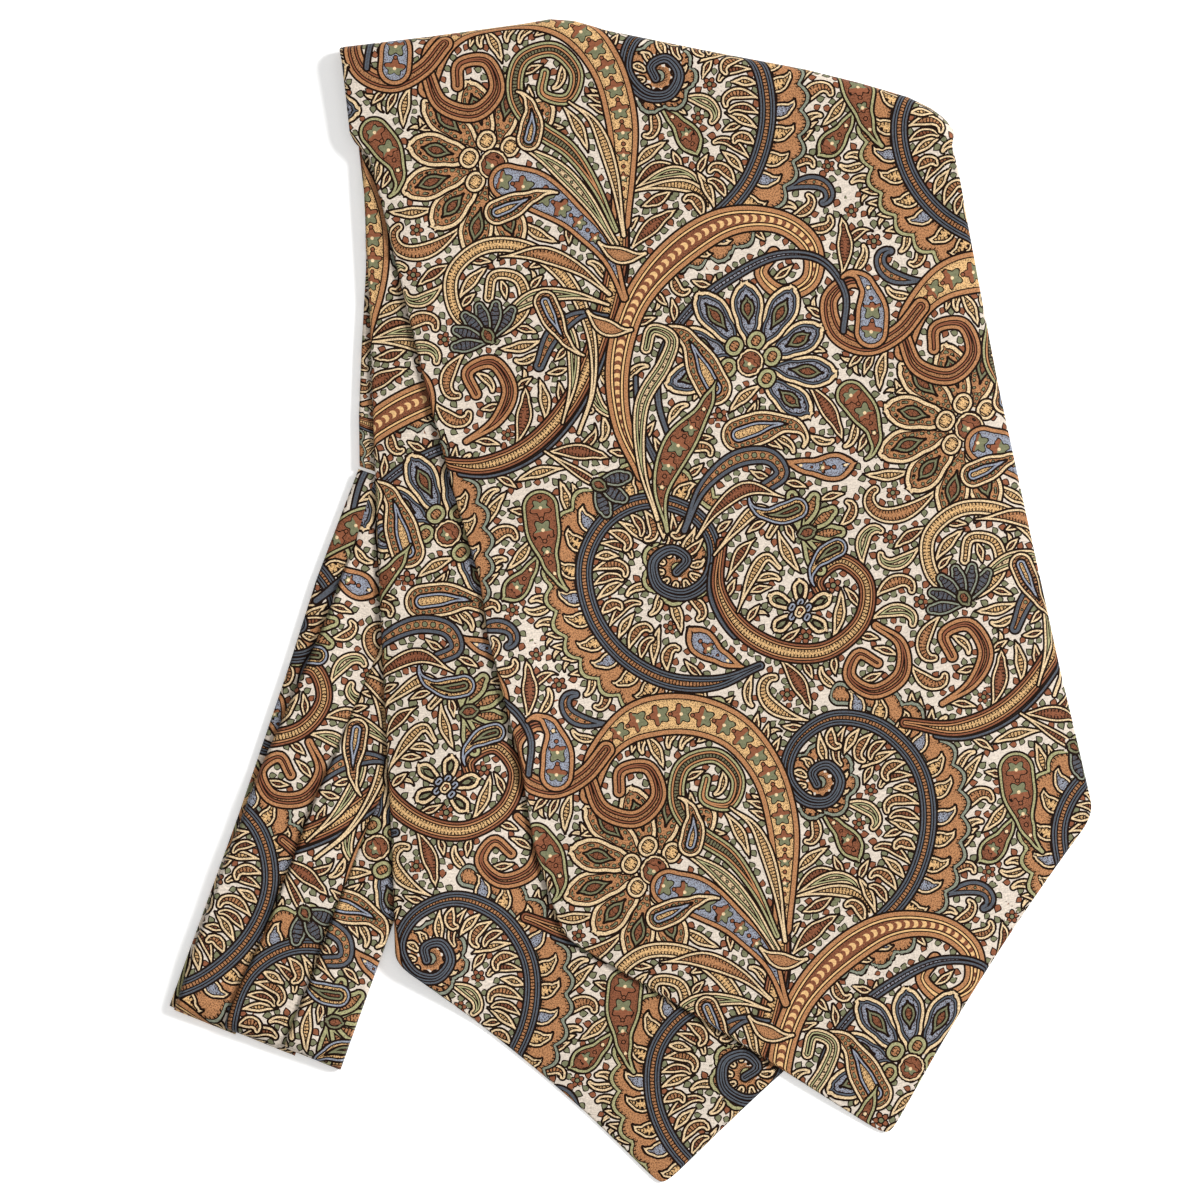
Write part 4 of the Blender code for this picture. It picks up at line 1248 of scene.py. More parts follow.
buteh("tan leaf", (-44, 262), 280.0, 20.0, 10.0, 3.6, 40.0, "inner sky")
ribbon("rust leaf", ((-54, 219), (-47, 212), (-41, 206)), (0, 0.5), (0.8, 1.6), (1, 1.3))
fan_flower((-42, 207), 318.0, 3, 76.0, 10.0, 2.6, "plain slate", "heart")
buteh("tan buteh", (-38, 96), 60.0, 16.0, 40.0, 3.7, 60.0)
buteh("tan buteh", (-52, 77), 8.0, 19.0, 14.0, 3.9, -50.0)
buteh("sky buteh", (48, 232), 70.0, 23.0, 30.0, 5.0, 120.0, None)
buteh("green buteh", (38, 215), 300.0, 22.0, -30.0, 4.6, -80.0, None)
bundle((-12, 74), ("cream leaf", "bead leaf", "rust leaf"), (26.0, 22.0, 16.0),
       24.0, 40.0, -30.0, 2.1, -80.0)
bundle((-33, 246), ("rust leaf", "bead leaf", "cream leaf"), (22.0, 25.0, 19.0),
       246.0, 44.0, 34.0, 2.0, 90.0)
print(len(strokes), "strokes set by hand,", covered(), "% of the ground covered")

# %% [markdown]
# ## Leaves that grow into the gaps
#
# A designer fills the ground with sprays that leave the stems and bend along them. The same
# can be grown: at stops along a stem, try a long leaf, then shorter ones; sample its
# outline on the map of free ground; keep the first that touches nothing. Each accepted leaf
# lowers the map, so the next one finds its own room.

# %% Growing sprays
GAP = 0.8                 # ground left between a grown leaf and anything else
chance = np.random.default_rng(12)
HABITS = (
    # (recipe, length, fat, turn, curl): tried in turn
    ("bead leaf", 32.0, 2.5, 40.0, 0.0), ("tan leaf", 30.0, 2.6, 34.0, 170.0),
    ("sky buteh", 25.0, 4.3, 40.0, 0.0), ("cream leaf", 27.0, 2.3, 36.0, 150.0),
    ("green buteh", 22.0, 3.9, 36.0, 0.0), ("slate hook", 24.0, 2.2, 40.0, 170.0),
    ("rust leaf", 21.0, 2.5, 30.0, 0.0), ("bead leaf", 19.0, 2.2, 30.0, 120.0),
    ("tan leaf", 17.0, 2.3, 30.0, 130.0), ("cream leaf", 15.0, 1.9, 30.0, 0.0),
    ("rust leaf", 13.0, 1.9, -26.0, 0.0), ("tan leaf", 12.0, 1.8, 20.0, 130.0),
    ("cream leaf", 10.0, 1.5, 20.0, 60.0), ("rust leaf", 8.0, 1.4, 24.0, 0.0),
)


def fits(spine, half, clear):
    """Whether a stroke's outline stands in free ground from a set distance on. Just past
    its root it may come nearer to the stem than elsewhere."""
    _, normal = sides_of(spine)
    gone = np.concatenate([[0.0], np.cumsum(np.hypot(*np.diff(spine, axis=0).T))])
    need = GAP * smooth((gone - clear) / 5.0) - 0.1
    tried = gone > clear
    edge = half[:, None] * normal
    free = np.minimum(free_at(spine + edge), free_at(spine - edge))
    tip = spine[-1] + (spine[-1] - spine[-2]) * 0.8
    return tried.any() and np.all(free[tried] > need[tried]) and free_at(tip) > GAP


def fork(recipe, spine, fat):
    """Two side lobes that leave a leaf past its middle and curl outwards, where they fit."""
    at = int(0.5 * len(spine))
    along = heading_of(spine[at + 1] - spine[at])
    length = 0.42 * len(spine) * np.hypot(*(spine[1] - spine[0])) + 1.5
    for side in (1, -1):
        lobe = walk(spine[at], along + 36.0 * side, length, 30.0 * side, 60.0 * side)
        width = swell(lobe, (0, 0.5 * fat), (0.5, 0.6 * fat), (1, 0.15))
        if fits(lobe, width, 1.4 * fat):
            draw(recipe, lobe, width, under=True)


def grow(start, heading, bend, habits, clear):
    """Draws the first habit that fits from here, under what is drawn already. Where there is
    no room just ahead, none is tried."""
    if free_at(start + (clear + 2.5) * unit(heading)) < 0.6:
        return 0
    for recipe, length, fat, turn, curl in habits:
        spine = walk(start, heading, length * chance.uniform(0.85, 1.15), bend * turn, bend * curl)
        width = leaf_width(spine, fat, curl)
        if fits(spine, width, clear):
            draw(recipe, spine, width, under=True)
            if recipe == "rust leaf":
                fork(recipe, spine, fat)
            return 1
    return 0


def grow_along(stem, half, every, offset, first, last, ways):
    """Leaves on both sides of one stem. A leaf starts inside the stem, leans off its
    direction by nearly the same angle as its neighbours, so that they lie side by side, and
    bends back towards the stem. ways says whether some also grow the other way."""
    tangent, normal = sides_of(stem)
    lean = chance.uniform(24.0, 42.0)
    grown = 0
    for i in np.arange(offset, len(stem) - 1, every):
        along = heading_of(tangent[i])
        for side in (1, -1):
            for back in ways:
                off = lean + chance.uniform(-5.0, 5.0) if back > 0 else chance.uniform(30.0, 70.0)
                heading = along + side * off if back > 0 else along + 180.0 - side * off
                start = stem[i] + normal[i] * side * 0.5 * half[i]
                clear = (0.5 * half[i] + 0.6) / np.sin(np.radians(off))
                choice = int(chance.integers(first, first + 4))
                grown += grow(start, heading, side * back, HABITS[choice:last], clear)
    return grown


main_strokes = [stroke for stroke in strokes if stroke["buds"] and len(stroke["spine"]) > 7]
# Rounds of growing: (every so many steps, from, first habit, last habit, ways)
ROUNDS = (
    (6, 3, 0, 8, (1,)), (5, 2, 0, 10, (1, -1)), (4, 1, 3, 12, (1, -1)),
    (3, 2, 6, 14, (1, -1)), (2, 1, 8, 14, (1, -1)),
)
for growing in ROUNDS:
    grown = sum(grow_along(stroke["spine"], stroke["half"], *growing) for stroke in main_strokes)
    print(grown, "leaves grown;", covered(), "% covered")

# %% Small sprigs in the open ground
def sow(count, recipes, length, fat, turn, curl):
    """Free-standing small motifs at seeded places, kept where they fit."""
    kept = 0
    spots = chance.uniform((0, 0), ONE_REPEAT, (count, 2))
    for spot in spots[free_at(spots) > GAP]:
        bend = chance.choice((-1, 1))
        heading = chance.uniform(0, 360)
        spine = walk(spot, heading, length * chance.uniform(0.8, 1.2), bend * turn, bend * curl)
        width = leaf_width(spine, fat, curl)
        if fits(spine, width, -9.0):
            draw(recipes[kept % len(recipes)], spine, width)
            kept += 1
    return kept


print(sow(3000, ("rust leaf", "tan leaf", "cream leaf"), 11.0, 2.0, 30.0, 120.0),
      "sprays sown;", covered(), "% covered,", len(strokes), "strokes")

# %% [markdown]
# ## Buds and rosettes
#
# A bud sits every few millimetres along every outline, and rosettes and single buds fill the
# ground that is still open. They are too small to be strokes: each is a place, a direction
# and a kind, and the shader draws it whole.

# %% Placing the buds
BUD_GAP = 2.4             # between buds' middles
BOARD_CELL = 1.25
SCATTERED = 9000
KINDS = {"green bud": 1, "rust bud": 2, "rosette": 3, "trefoil": 4}
buds = []                 # (across, up, direction, kind, size)


def add_buds(spots, directions, kinds, room, gap, sizes):
    """Greedy placing: a bud is kept where the map is free and no earlier one is near. Nearness
    is looked up on a coarse board of taken cells. Kinds are taken in turn."""
    board = {}
    for u, v, *_ in buds:
        board.setdefault((int(u / BOARD_CELL), int(v / BOARD_CELL)), []).append((u, v))
    across, up = into_repeat(spots)
    reach = int(np.ceil(gap / BOARD_CELL))
    kept = 0
    for index in np.flatnonzero(free_at(spots) > room):
        u, v = across[index], up[index]
        i, j = int(u / BOARD_CELL), int(v / BOARD_CELL)
        close = any((pu - u) ** 2 + (pv - v) ** 2 < gap * gap
                    for a in range(i - reach, i + reach + 1)
                    for b in range(j - reach, j + reach + 1)
                    for pu, pv in board.get((a, b), ()))
        if not close:
            board.setdefault((i, j), []).append((u, v))
            buds.append((u, v, directions[index], KINDS[kinds[kept % len(kinds)]], sizes[index]))
            kept += 1
    return kept


def outline_spots(distance, every):
    """Places a set distance outside every outline, every so many millimetres."""
    spots, ways = [], []
    for stroke in strokes:
        if not stroke["buds"]:
            continue
        line = stroke["spine"]
        tangent, normal = sides_of(line)
        gap = np.hypot(*np.diff(line, axis=0).T).mean()
        skip = max(int(round(every / gap)), 1)
        for side in (1, -1):
            at = slice(chance.integers(0, skip), None, skip)
            spots.append(line[at] + side * normal[at] * (stroke["half"][at, None] + distance))
            ways.append(np.arctan2(tangent[at, 1], tangent[at, 0]) + side * 0.6)
    return np.concatenate(spots), np.concatenate(ways)


scatter = chance.uniform((0, 0), ONE_REPEAT, (SCATTERED, 2))
turns = chance.uniform(0, 2 * pi, SCATTERED)
sizes = chance.uniform(0.85, 1.1, SCATTERED)
print(add_buds(scatter, turns, ("rosette",), 2.1, 9.0, sizes), "rosettes")
spots, ways = outline_spots(1.1, 1.3)
spots = spots + chance.normal(0.0, 0.1, spots.shape)
ways = ways + chance.normal(0.0, 0.5, len(ways))
sizes = chance.uniform(0.9, 1.15, len(spots))
print(add_buds(spots, ways, ("green bud", "green bud", "rust bud"), 0.6, BUD_GAP, sizes),
      "buds along outlines")
sizes = chance.uniform(0.9, 1.1, SCATTERED)
print(add_buds(scatter[::-1], turns, ("trefoil",), 1.6, 3.1, sizes), "trefoils")
sizes = chance.uniform(0.75, 1.0, SCATTERED)
print(add_buds(scatter[::2], turns, ("rust bud", "green bud"), 0.8, 2.3, sizes),
      "single buds,", len(buds), "in all")

# %% [markdown]
# ## Laying the print on a mesh
#
# A shader can't look through hundreds of strokes, so each face is told which few it shows.
# Strokes are laid in painting order. For every face near a stroke its four corners get four
# numbers: the distance to the spine with its sign (across), the half width, the distance
# along the spine, and what is left of it. The shader works out the edge from those, and since
# they change evenly over a face, an edge stays sharp inside it. Each face keeps its three
# latest strokes. The numbers are stored per corner, so nothing is mixed between strokes.

# %% Measuring a stroke at the corners of faces
LAYERS = 3
FACE_REACH = 0.95         # a face shows a stroke that comes this near to its middle


def measure(corners, nearest, stroke, shift):
    """(across, half width, along, left over) for corners of shape (faces, 4, 2). Only the
    five pieces of the spine round each face's nearest one are tried, so that all corners of a
    face agree. Past an end, along or left over is negative. Where the width changes fast,
    across and width shrink together, which keeps the outline's thickness even."""
    spine, half = stroke["spine"] + shift, stroke["half"]
    start, run = spine[:-1], np.diff(spine, axis=0)
    length = np.hypot(run[:, 0], run[:, 1])
    gone = np.concatenate([[0.0], np.cumsum(length)])
    last = len(run) - 1
    tried = np.clip(nearest[:, None] + np.arange(-2, 3), 0, last)[:, None, :]
    offset = corners[:, :, None, :] - start[tried]
    way = run[tried] / length[tried][..., None]
    along = (offset * way).sum(-1)
    held = np.clip(along, 0.0, length[tried])
    gap = np.hypot(offset[..., 0] - held * way[..., 0], offset[..., 1] - held * way[..., 1])
    width = half[tried] + (half[tried + 1] - half[tried]) * held / length[tried]
    best = (gap - width).argmin(-1)[..., None]

    def pick(values):
        return np.take_along_axis(np.broadcast_to(values, gap.shape), best, axis=-1)[..., 0]

    piece = pick(tried)
    cross = pick(way[..., 0] * offset[..., 1] - way[..., 1] * offset[..., 0])
    along, gap, width = pick(along), pick(gap), pick(width)
    past = np.where(piece == 0, np.minimum(along, 0.0), 0.0) + np.where(
        piece == last, np.maximum(along - length[piece], 0.0), 0.0)
    across = np.where(past == 0.0, np.where(cross < 0.0, -gap, gap), cross)
    distance = gone[piece] + np.where(past == 0.0, np.clip(along, 0.0, length[piece]), along)
    slope = (half[piece + 1] - half[piece]) / length[piece]
    depth, period, side = stroke["scallop"]
    if depth:
        wave = depth * (np.abs(np.sin(pi * distance / period)) - SCALLOP_DIP)
        width = width + np.where((across * side > 0) | (side == 0), wave, 0.0)
    even_out = 1.0 / np.hypot(1.0, np.clip(slope, -1.2, 1.2))
    return across * even_out, width * even_out, distance, gone[-1] - distance


def lay_print(flat):
    """Three layers of stroke numbers for faces with cloth places flat, (faces, 4, 2): where a
    corner lies on its stroke, and what is left of the stroke with its recipe's number."""
    count = len(flat)
    where = np.zeros((LAYERS, count, 4, 3), np.float32)
    what = np.zeros((LAYERS, count, 4, 3), np.float32)
    what[..., 1] = -1.0
    middle = flat.mean(1)
    order = np.argsort(middle[:, 1], kind="stable")
    sorted_up = middle[order, 1]
    low, high = middle.min(0), middle.max(0)
    for stroke in strokes:
        spine, half = stroke["spine"], widest(stroke)
        margin = half.max() + 1.0
        for shift in shifts_over(spine.min(0) - margin, spine.max(0) + margin, low, high):
            gap = np.full(count, FAR)
            nearest = np.zeros(count, int)
            for piece in pieces(spine, 10):
                line = spine[piece] + shift
                box_low, box_high = line.min(0) - margin, line.max(0) + margin
                first, last = np.searchsorted(sorted_up, (box_low[1], box_high[1]))
                rows = order[first:last]
                rows = rows[(middle[rows, 0] > box_low[0]) & (middle[rows, 0] < box_high[0])]
                if not len(rows):
                    continue
                found, at = reach_of(middle[rows], line, half[piece])
                better = found < gap[rows]
                gap[rows[better]] = found[better]
                nearest[rows[better]] = at[better] + piece.start
            shown = np.flatnonzero(gap < FACE_REACH)
            if not len(shown):
                continue
            across, width, along, rest = measure(flat[shown], nearest[shown], stroke, shift)
            where[1:, shown], what[1:, shown] = where[:-1, shown], what[:-1, shown]
            where[0, shown] = np.stack([across, width, along], axis=-1)
            what[0, shown] = np.stack([rest, np.full_like(rest, stroke["recipe"]),
                                       np.zeros_like(rest)], axis=-1)
    return where, what

# %% The bud nearest to each face
BUD_CELL, BUD_ROOM = 3.0, 4        # a cell's width, and how many buds it can hold
BUD_REACH = 3.4           # a bud further from a face isn't shown on it
ROSETTE_EXTENT = 1.0      # a rosette reaches this much further than the others
BUD_MARGIN = 6.0          # how far past the cloth's own box buds are looked for


def lay_buds(flat):
    """For each face the bud nearest its middle: each corner's place in that bud's own
    directions, in millimetres at size 1, and its kind. Buds are sorted into cells, and a
    face looks through the nine cells round it."""
    middle = flat.mean(1)
    low, high = middle.min(0) - BUD_MARGIN, middle.max(0) + BUD_MARGIN
    table = np.array(buds)
    shifts = shifts_over(np.zeros(2) - BUD_CELL, ONE_REPEAT + BUD_CELL, low, high)
    copies = np.concatenate([table + np.array((*shift, 0, 0, 0)) for shift in shifts])
    copies = copies[np.all((copies[:, :2] > low) & (copies[:, :2] < high), axis=1)]
    shape = ((high - low) / BUD_CELL).astype(int) + 3

    def cell_of(places):
        spot = ((places - low) / BUD_CELL).astype(int) + 1
        return spot[:, 0] * shape[1] + spot[:, 1]

    key = cell_of(copies[:, :2])
    order = np.argsort(key, kind="stable")
    key, copies = key[order], copies[order]
    rank = np.arange(len(key)) - np.searchsorted(key, key)
    fitting = rank < BUD_ROOM
    board = np.full((shape[0] * shape[1], BUD_ROOM), -1)
    board[key[fitting], rank[fitting]] = np.flatnonzero(fitting)
    home = cell_of(middle)
    seen = np.concatenate([board[home + i * shape[1] + j] for i in (-1, 0, 1) for j in (-1, 0, 1)],
                          axis=1)
    gap = np.linalg.norm(middle[:, None, :] - copies[seen, :2], axis=-1)
    extent = np.where(copies[seen, 3] == KINDS["rosette"], ROSETTE_EXTENT, 0.0)
    gap = np.where(seen < 0, FAR, gap - extent)
    chosen = copies[seen[np.arange(len(flat)), gap.argmin(1)]]
    offset = flat - chosen[:, None, :2]
    cos, sin = np.cos(chosen[:, 2])[:, None], np.sin(chosen[:, 2])[:, None]
    size = chosen[:, 4][:, None]
    kind = np.where(gap.min(1) < BUD_REACH, chosen[:, 3], 0.0)[:, None]
    local = np.stack([(offset[..., 0] * cos + offset[..., 1] * sin) / size,
                      (offset[..., 1] * cos - offset[..., 0] * sin) / size,
                      kind + 0.0 * offset[..., 0]], axis=-1)
    return local.astype(np.float32)

# %% [markdown]
# # The silk as shader nodes
#
# Three node groups do the drawing. One turns a stroke's numbers into colour and a mask, one
# draws a bud, and one adds the twill: fine diagonal threads that break the ink up and give
# the surface its grain. The principled shader stays in the material itself.

# %% Helpers for nodes
STOPS = 32                # how many steps a ramp has room for


class Sheet:
    """A node tree with short ways to add nodes: every maths call returns a socket."""

    def __init__(self, tree):
        self.tree = tree

    def node(self, kind, **settings):
        """A new node with these settings."""
        made = self.tree.nodes.new(kind)
        for key, value in settings.items():
            setattr(made, key, value)
        return made

    def join(self, value, socket):
        """A link from a socket, or a plain value."""
        if isinstance(value, bpy.types.NodeSocket):
            self.tree.links.new(value, socket)
        else:
            socket.default_value = value

    def maths(self, operation, *values):
        """One maths node."""
        made = self.node("ShaderNodeMath", operation=operation)
        for value, socket in zip(values, made.inputs):
            self.join(value, socket)
        return made.outputs[0]

    def add(self, a, b):
        return self.maths("ADD", a, b)

    def less(self, a, b):
        return self.maths("SUBTRACT", a, b)

    def times(self, a, b):
        return self.maths("MULTIPLY", a, b)

    def below(self, a, b):
        return self.maths("LESS_THAN", a, b)

    def above(self, a, b):
        return self.maths("GREATER_THAN", a, b)

    def size(self, a):
        return self.maths("ABSOLUTE", a)

    def hypot(self, a, b):
        return self.maths("SQRT", self.add(self.times(a, a), self.times(b, b)))

    def wrap(self, a, period):
        """a folded into -period/2 to period/2."""
        made = self.node("ShaderNodeMath", operation="WRAP")
        self.join(a, made.inputs[0])
        made.inputs[1].default_value, made.inputs[2].default_value = -period / 2, period / 2
        return made.outputs[0]

    def split(self, vector):
        """The three parts of a vector."""
        made = self.node("ShaderNodeSeparateXYZ")
        self.join(vector, made.inputs[0])
        return made.outputs

    def tint(self, mask, under, over):
        """under where mask is 0, over where it is 1."""
        made = self.node("ShaderNodeMix", data_type="RGBA")
        self.join(mask, made.inputs["Factor"])
        for value, name in ((under, "A"), (over, "B")):
            socket = next(s for s in made.inputs if s.name == name and s.type == "RGBA")
            self.join(value if isinstance(value, bpy.types.NodeSocket) else (*value, 1.0), socket)
        return next(s for s in made.outputs if s.type == "RGBA")

    def steps(self, value, colours):
        """A stepped ramp: colour n from n up to n + 1, both over the number of stops."""
        made = self.node("ShaderNodeValToRGB")
        ramp = made.color_ramp
        ramp.interpolation = "CONSTANT"
        for number, colour in enumerate(colours):
            stop = ramp.elements.new(number / STOPS) if number else ramp.elements[0]
            stop.color = (*colour, 1.0)
        ramp.elements.remove(ramp.elements[-1])
        self.join(value, made.inputs[0])
        return made.outputs[0]


def new_group(name, inputs, outputs):
    """A shader node group with named sockets, and its inside as a sheet."""
    tree = bpy.data.node_groups.new(name, "ShaderNodeTree")
    for socket, kind in inputs:
        tree.interface.new_socket(socket, in_out="INPUT", socket_type=kind)
    for socket, kind in outputs:
        tree.interface.new_socket(socket, in_out="OUTPUT", socket_type=kind)
    sheet = Sheet(tree)
    entry, leave = sheet.node("NodeGroupInput"), sheet.node("NodeGroupOutput")
    return tree, sheet, entry.outputs, leave.inputs

# %% [markdown]
# ## Stroke group
#
# How deep a point lies inside the stroke is half width minus distance to the spine, with the
# distance past an end added in as a round cap. The recipe number reads four stepped ramps:
# three dyes and the band widths. Depth then picks outline, band, second band or filling.

# %% Stroke group
OUTLINE, INNER_LINE = 0.32, 0.36
NO_BAND = 0.05            # a narrower band isn't drawn
TICK_EVERY, RIB_EVERY, SPOT_EVERY = 1.0, 1.3, 1.25
BEAD_EVERY, EDGE_BEAD_EVERY, FLOWER_EVERY = 2.5, 1.75, 6.6
WIDTH_SCALE, KIND_SCALE = 4.0, 10.0        # a ramp keeps 0 to 1, so its values are divided


def stroke_group():
    """One stroke over what is under it. Each filling is a mask, most of them a shape that
    repeats along the spine. Inks go on from the filling outwards to the outline."""
    tree, s, entry, leave = new_group(
        "printed stroke",
        (("Where", "NodeSocketVector"), ("What", "NodeSocketVector"), ("Speckle", "NodeSocketFloat"),
         ("Under", "NodeSocketColor")),
        (("Color", "NodeSocketColor"),))
    across, width, along = s.split(entry["Where"])
    rest, number, _ = s.split(entry["What"])
    past = s.maths("MAXIMUM", s.maths("MAXIMUM", s.times(along, -1.0), s.times(rest, -1.0)), 0.0)
    deep = s.less(width, s.hypot(across, past))
    shown = s.times(s.above(deep, -OUTLINE), s.above(number, -0.5))
    pick = s.times(s.add(number, 0.5), 1 / STOPS)
    table = list(RECIPES.values())
    band_dye, second_dye, fill_dye = [s.steps(pick, [DYES[row[column]] for row in table])
                                      for column in (0, 2, 4)]
    sizes = s.split(s.steps(pick, [(row[1] / WIDTH_SCALE, row[3] / WIDTH_SCALE,
                                    FILLINGS.index(row[5]) / KIND_SCALE) for row in table]))
    band, second = s.times(sizes[0], WIDTH_SCALE), s.times(sizes[1], WIDTH_SCALE)
    kind = s.times(sizes[2], KIND_SCALE)
    has_band, has_second = s.above(band, NO_BAND), s.above(second, NO_BAND)
    line_one = s.add(OUTLINE, band)
    band_end = s.times(has_band, INNER_LINE)
    line_two = s.add(s.add(line_one, band_end), second)
    inside = s.less(deep, s.add(line_two, s.times(has_second, INNER_LINE)))
    room = s.add(inside, s.size(across))

    def is_kind(name):
        return s.below(s.size(s.less(kind, FILLINGS.index(name))), 0.4)

    fine = s.size(s.wrap(along, TICK_EVERY))
    tick = s.times(s.below(fine, 0.16), s.below(inside, 0.75))
    bead_at = s.wrap(along, BEAD_EVERY)
    bead = s.hypot(bead_at, across)
    bead_size = s.maths("MINIMUM", s.times(room, 0.8), 0.95)
    crescent = s.times(s.below(s.hypot(s.times(bead_at, 0.85), across), 1.12),
                       s.above(s.hypot(s.add(bead_at, 0.75), s.times(across, 0.8)), 0.78))
    crescent = s.times(crescent, s.above(inside, 0.12))
    flower_at = s.wrap(along, FLOWER_EVERY)
    flower_far = s.hypot(flower_at, across)
    turn = s.maths("ARCTAN2", across, flower_at)
    petals = s.times(s.maths("COSINE", s.times(turn, 5.0)), 0.2)
    flower_size = s.times(s.maths("MINIMUM", s.times(room, 0.92), 3.1), s.add(petals, 0.92))
    seed_far = s.hypot(s.wrap(s.add(along, FLOWER_EVERY / 2), FLOWER_EVERY), across)
    seed_size = s.times(s.maths("MINIMUM", room, 1.5), 0.5)
    spot_row = s.maths("FLOOR", s.times(along, 1 / SPOT_EVERY))
    spot = s.hypot(s.wrap(along, SPOT_EVERY),
                   s.wrap(s.add(across, s.times(spot_row, 0.62)), SPOT_EVERY))
    edge_bead = s.hypot(s.wrap(along, EDGE_BEAD_EVERY), s.times(s.less(inside, 0.72), 1.15))
    rib = s.below(s.size(s.wrap(along, RIB_EVERY)), 0.17)

    ink, umber = DYES["ink"], DYES["umber"]
    edge_shade = s.maths("MAXIMUM", s.less(1.0, s.times(inside, 0.9)), 0.0)
    speckled = s.times(entry["Speckle"], s.add(0.62, s.times(edge_shade, 0.3)))
    colour = s.tint(speckled, fill_dye, umber)
    colour = s.tint(s.times(edge_shade, 0.22), colour, umber)
    dark = s.times(tick, s.add(is_kind("ticks"), is_kind("edge ticks")))
    colour = s.tint(dark, colour, ink)
    flower_dye = s.tint(s.above(flower_at, 0.25), DYES["sage"], DYES["rust"])
    for name, far, size, ring, dye in (("beads", bead, bead_size, 0.26, DYES["sage"]),
                                       ("flowers", flower_far, flower_size, 0.40, flower_dye),
                                       ("flowers", seed_far, seed_size, 0.30, DYES["rust"]),
                                       ("edge beads", edge_bead, 0.62, 0.26, DYES["sage"])):
        colour = s.tint(s.times(s.below(far, size), is_kind(name)), colour, ink)
        colour = s.tint(s.times(s.below(far, s.less(size, ring)), is_kind(name)), colour, dye)
    for name, mask, dye in (("flowers", s.below(flower_far, 0.5), DYES["straw"]),
                            ("crescents", crescent, DYES["gold"]),
                            ("spots", s.below(spot, 0.24), ink), ("ribs", rib, ink)):
        colour = s.tint(s.times(mask, is_kind(name)), colour, dye)
    colour = s.tint(s.below(inside, 0.0), colour, ink)
    hatched = s.times(s.times(s.below(fine, 0.2), s.above(second, 0.5)), 0.6)
    colour = s.tint(s.times(s.below(deep, line_two), has_second), colour,
                    s.tint(hatched, second_dye, ink))
    colour = s.tint(s.below(deep, s.add(line_one, band_end)), colour, ink)
    colour = s.tint(s.times(s.below(deep, line_one), has_band), colour,
                    s.tint(s.times(entry["Speckle"], 0.4), band_dye, umber))
    colour = s.tint(s.below(deep, OUTLINE * 0.9), colour, ink)
    s.join(s.tint(shown, entry["Under"], colour), leave["Color"])
    return tree


stroke_tree = stroke_group()
print("stroke group", len(stroke_tree.nodes), "nodes")

# %% Bud group
def bud_group():
    """Buds are leaf shapes, rosettes five petals about a centre, trefoils three. A petal is
    found by folding the angle: angle mod (turn / petals)."""
    tree, s, entry, leave = new_group(
        "bud", (("Place", "NodeSocketVector"), ("Under", "NodeSocketColor")),
        (("Color", "NodeSocketColor"),))
    x, y, kind = s.split(entry["Place"])
    far, turn = s.hypot(x, y), s.maths("ARCTAN2", y, x)

    def leaf_depth(x, y, long, wide):
        thin = s.times(s.less(1.0, s.times(s.times(x, x), 1 / long ** 2)),
                       s.less(1.0, s.times(x, 0.35)))
        return s.less(s.times(thin, wide), s.size(y))

    def petal_depth(count, out, size):
        folded = s.wrap(turn, 2 * pi / count)
        px = s.less(s.times(far, s.maths("COSINE", folded)), out)
        py = s.times(far, s.maths("SINE", folded))
        return s.less(size, s.hypot(s.times(px, 0.8), py))

    is_bud = s.times(s.above(kind, 0.5), s.below(kind, 2.5))
    is_five = s.times(s.above(kind, 2.5), s.below(kind, 3.5))
    is_three = s.above(kind, 3.5)
    rust_bud = s.times(s.above(kind, 1.5), s.below(kind, 2.5))
    colour = entry["Under"]
    bud_dye = s.tint(rust_bud, DYES["sage"], DYES["rust"])
    for mask, depth, dye in ((is_bud, leaf_depth(x, y, 1.1, 0.80), bud_dye),
                             (is_five, petal_depth(5, 1.35, 0.68), DYES["rust"]),
                             (is_five, s.less(0.72, far), DYES["sage"]),
                             (is_three, petal_depth(3, 1.0, 0.66), DYES["rust"]),
                             (is_three, s.less(0.5, far), DYES["sage"])):
        colour = s.tint(s.times(mask, s.above(depth, -0.28)), colour, DYES["ink"])
        colour = s.tint(s.times(mask, s.above(depth, 0.10)), colour, dye)
    s.join(colour, leave["Color"])
    return tree


bud_tree = bud_group()
print("bud group", len(bud_tree.nodes), "nodes")

# %% [markdown]
# ## Twill group
#
# Silk twill has diagonal ridges, here 0.42 mm apart on the flat cloth, and single threads
# that take a little more or less dye. The group puts out a height for the bump, a speckle
# mask for the engraved tones, and a light and dark thread value.

# %% Twill group
RIDGE, WEFT = 0.60, 0.34  # how far apart, along the cloth's own across or up
BLOTCH_SCALE, DOT_SCALE, DOT_SIZE = 1.9, 1.9, 0.30
SLUB_STRETCH = (0.35, 3.2, 1.0)


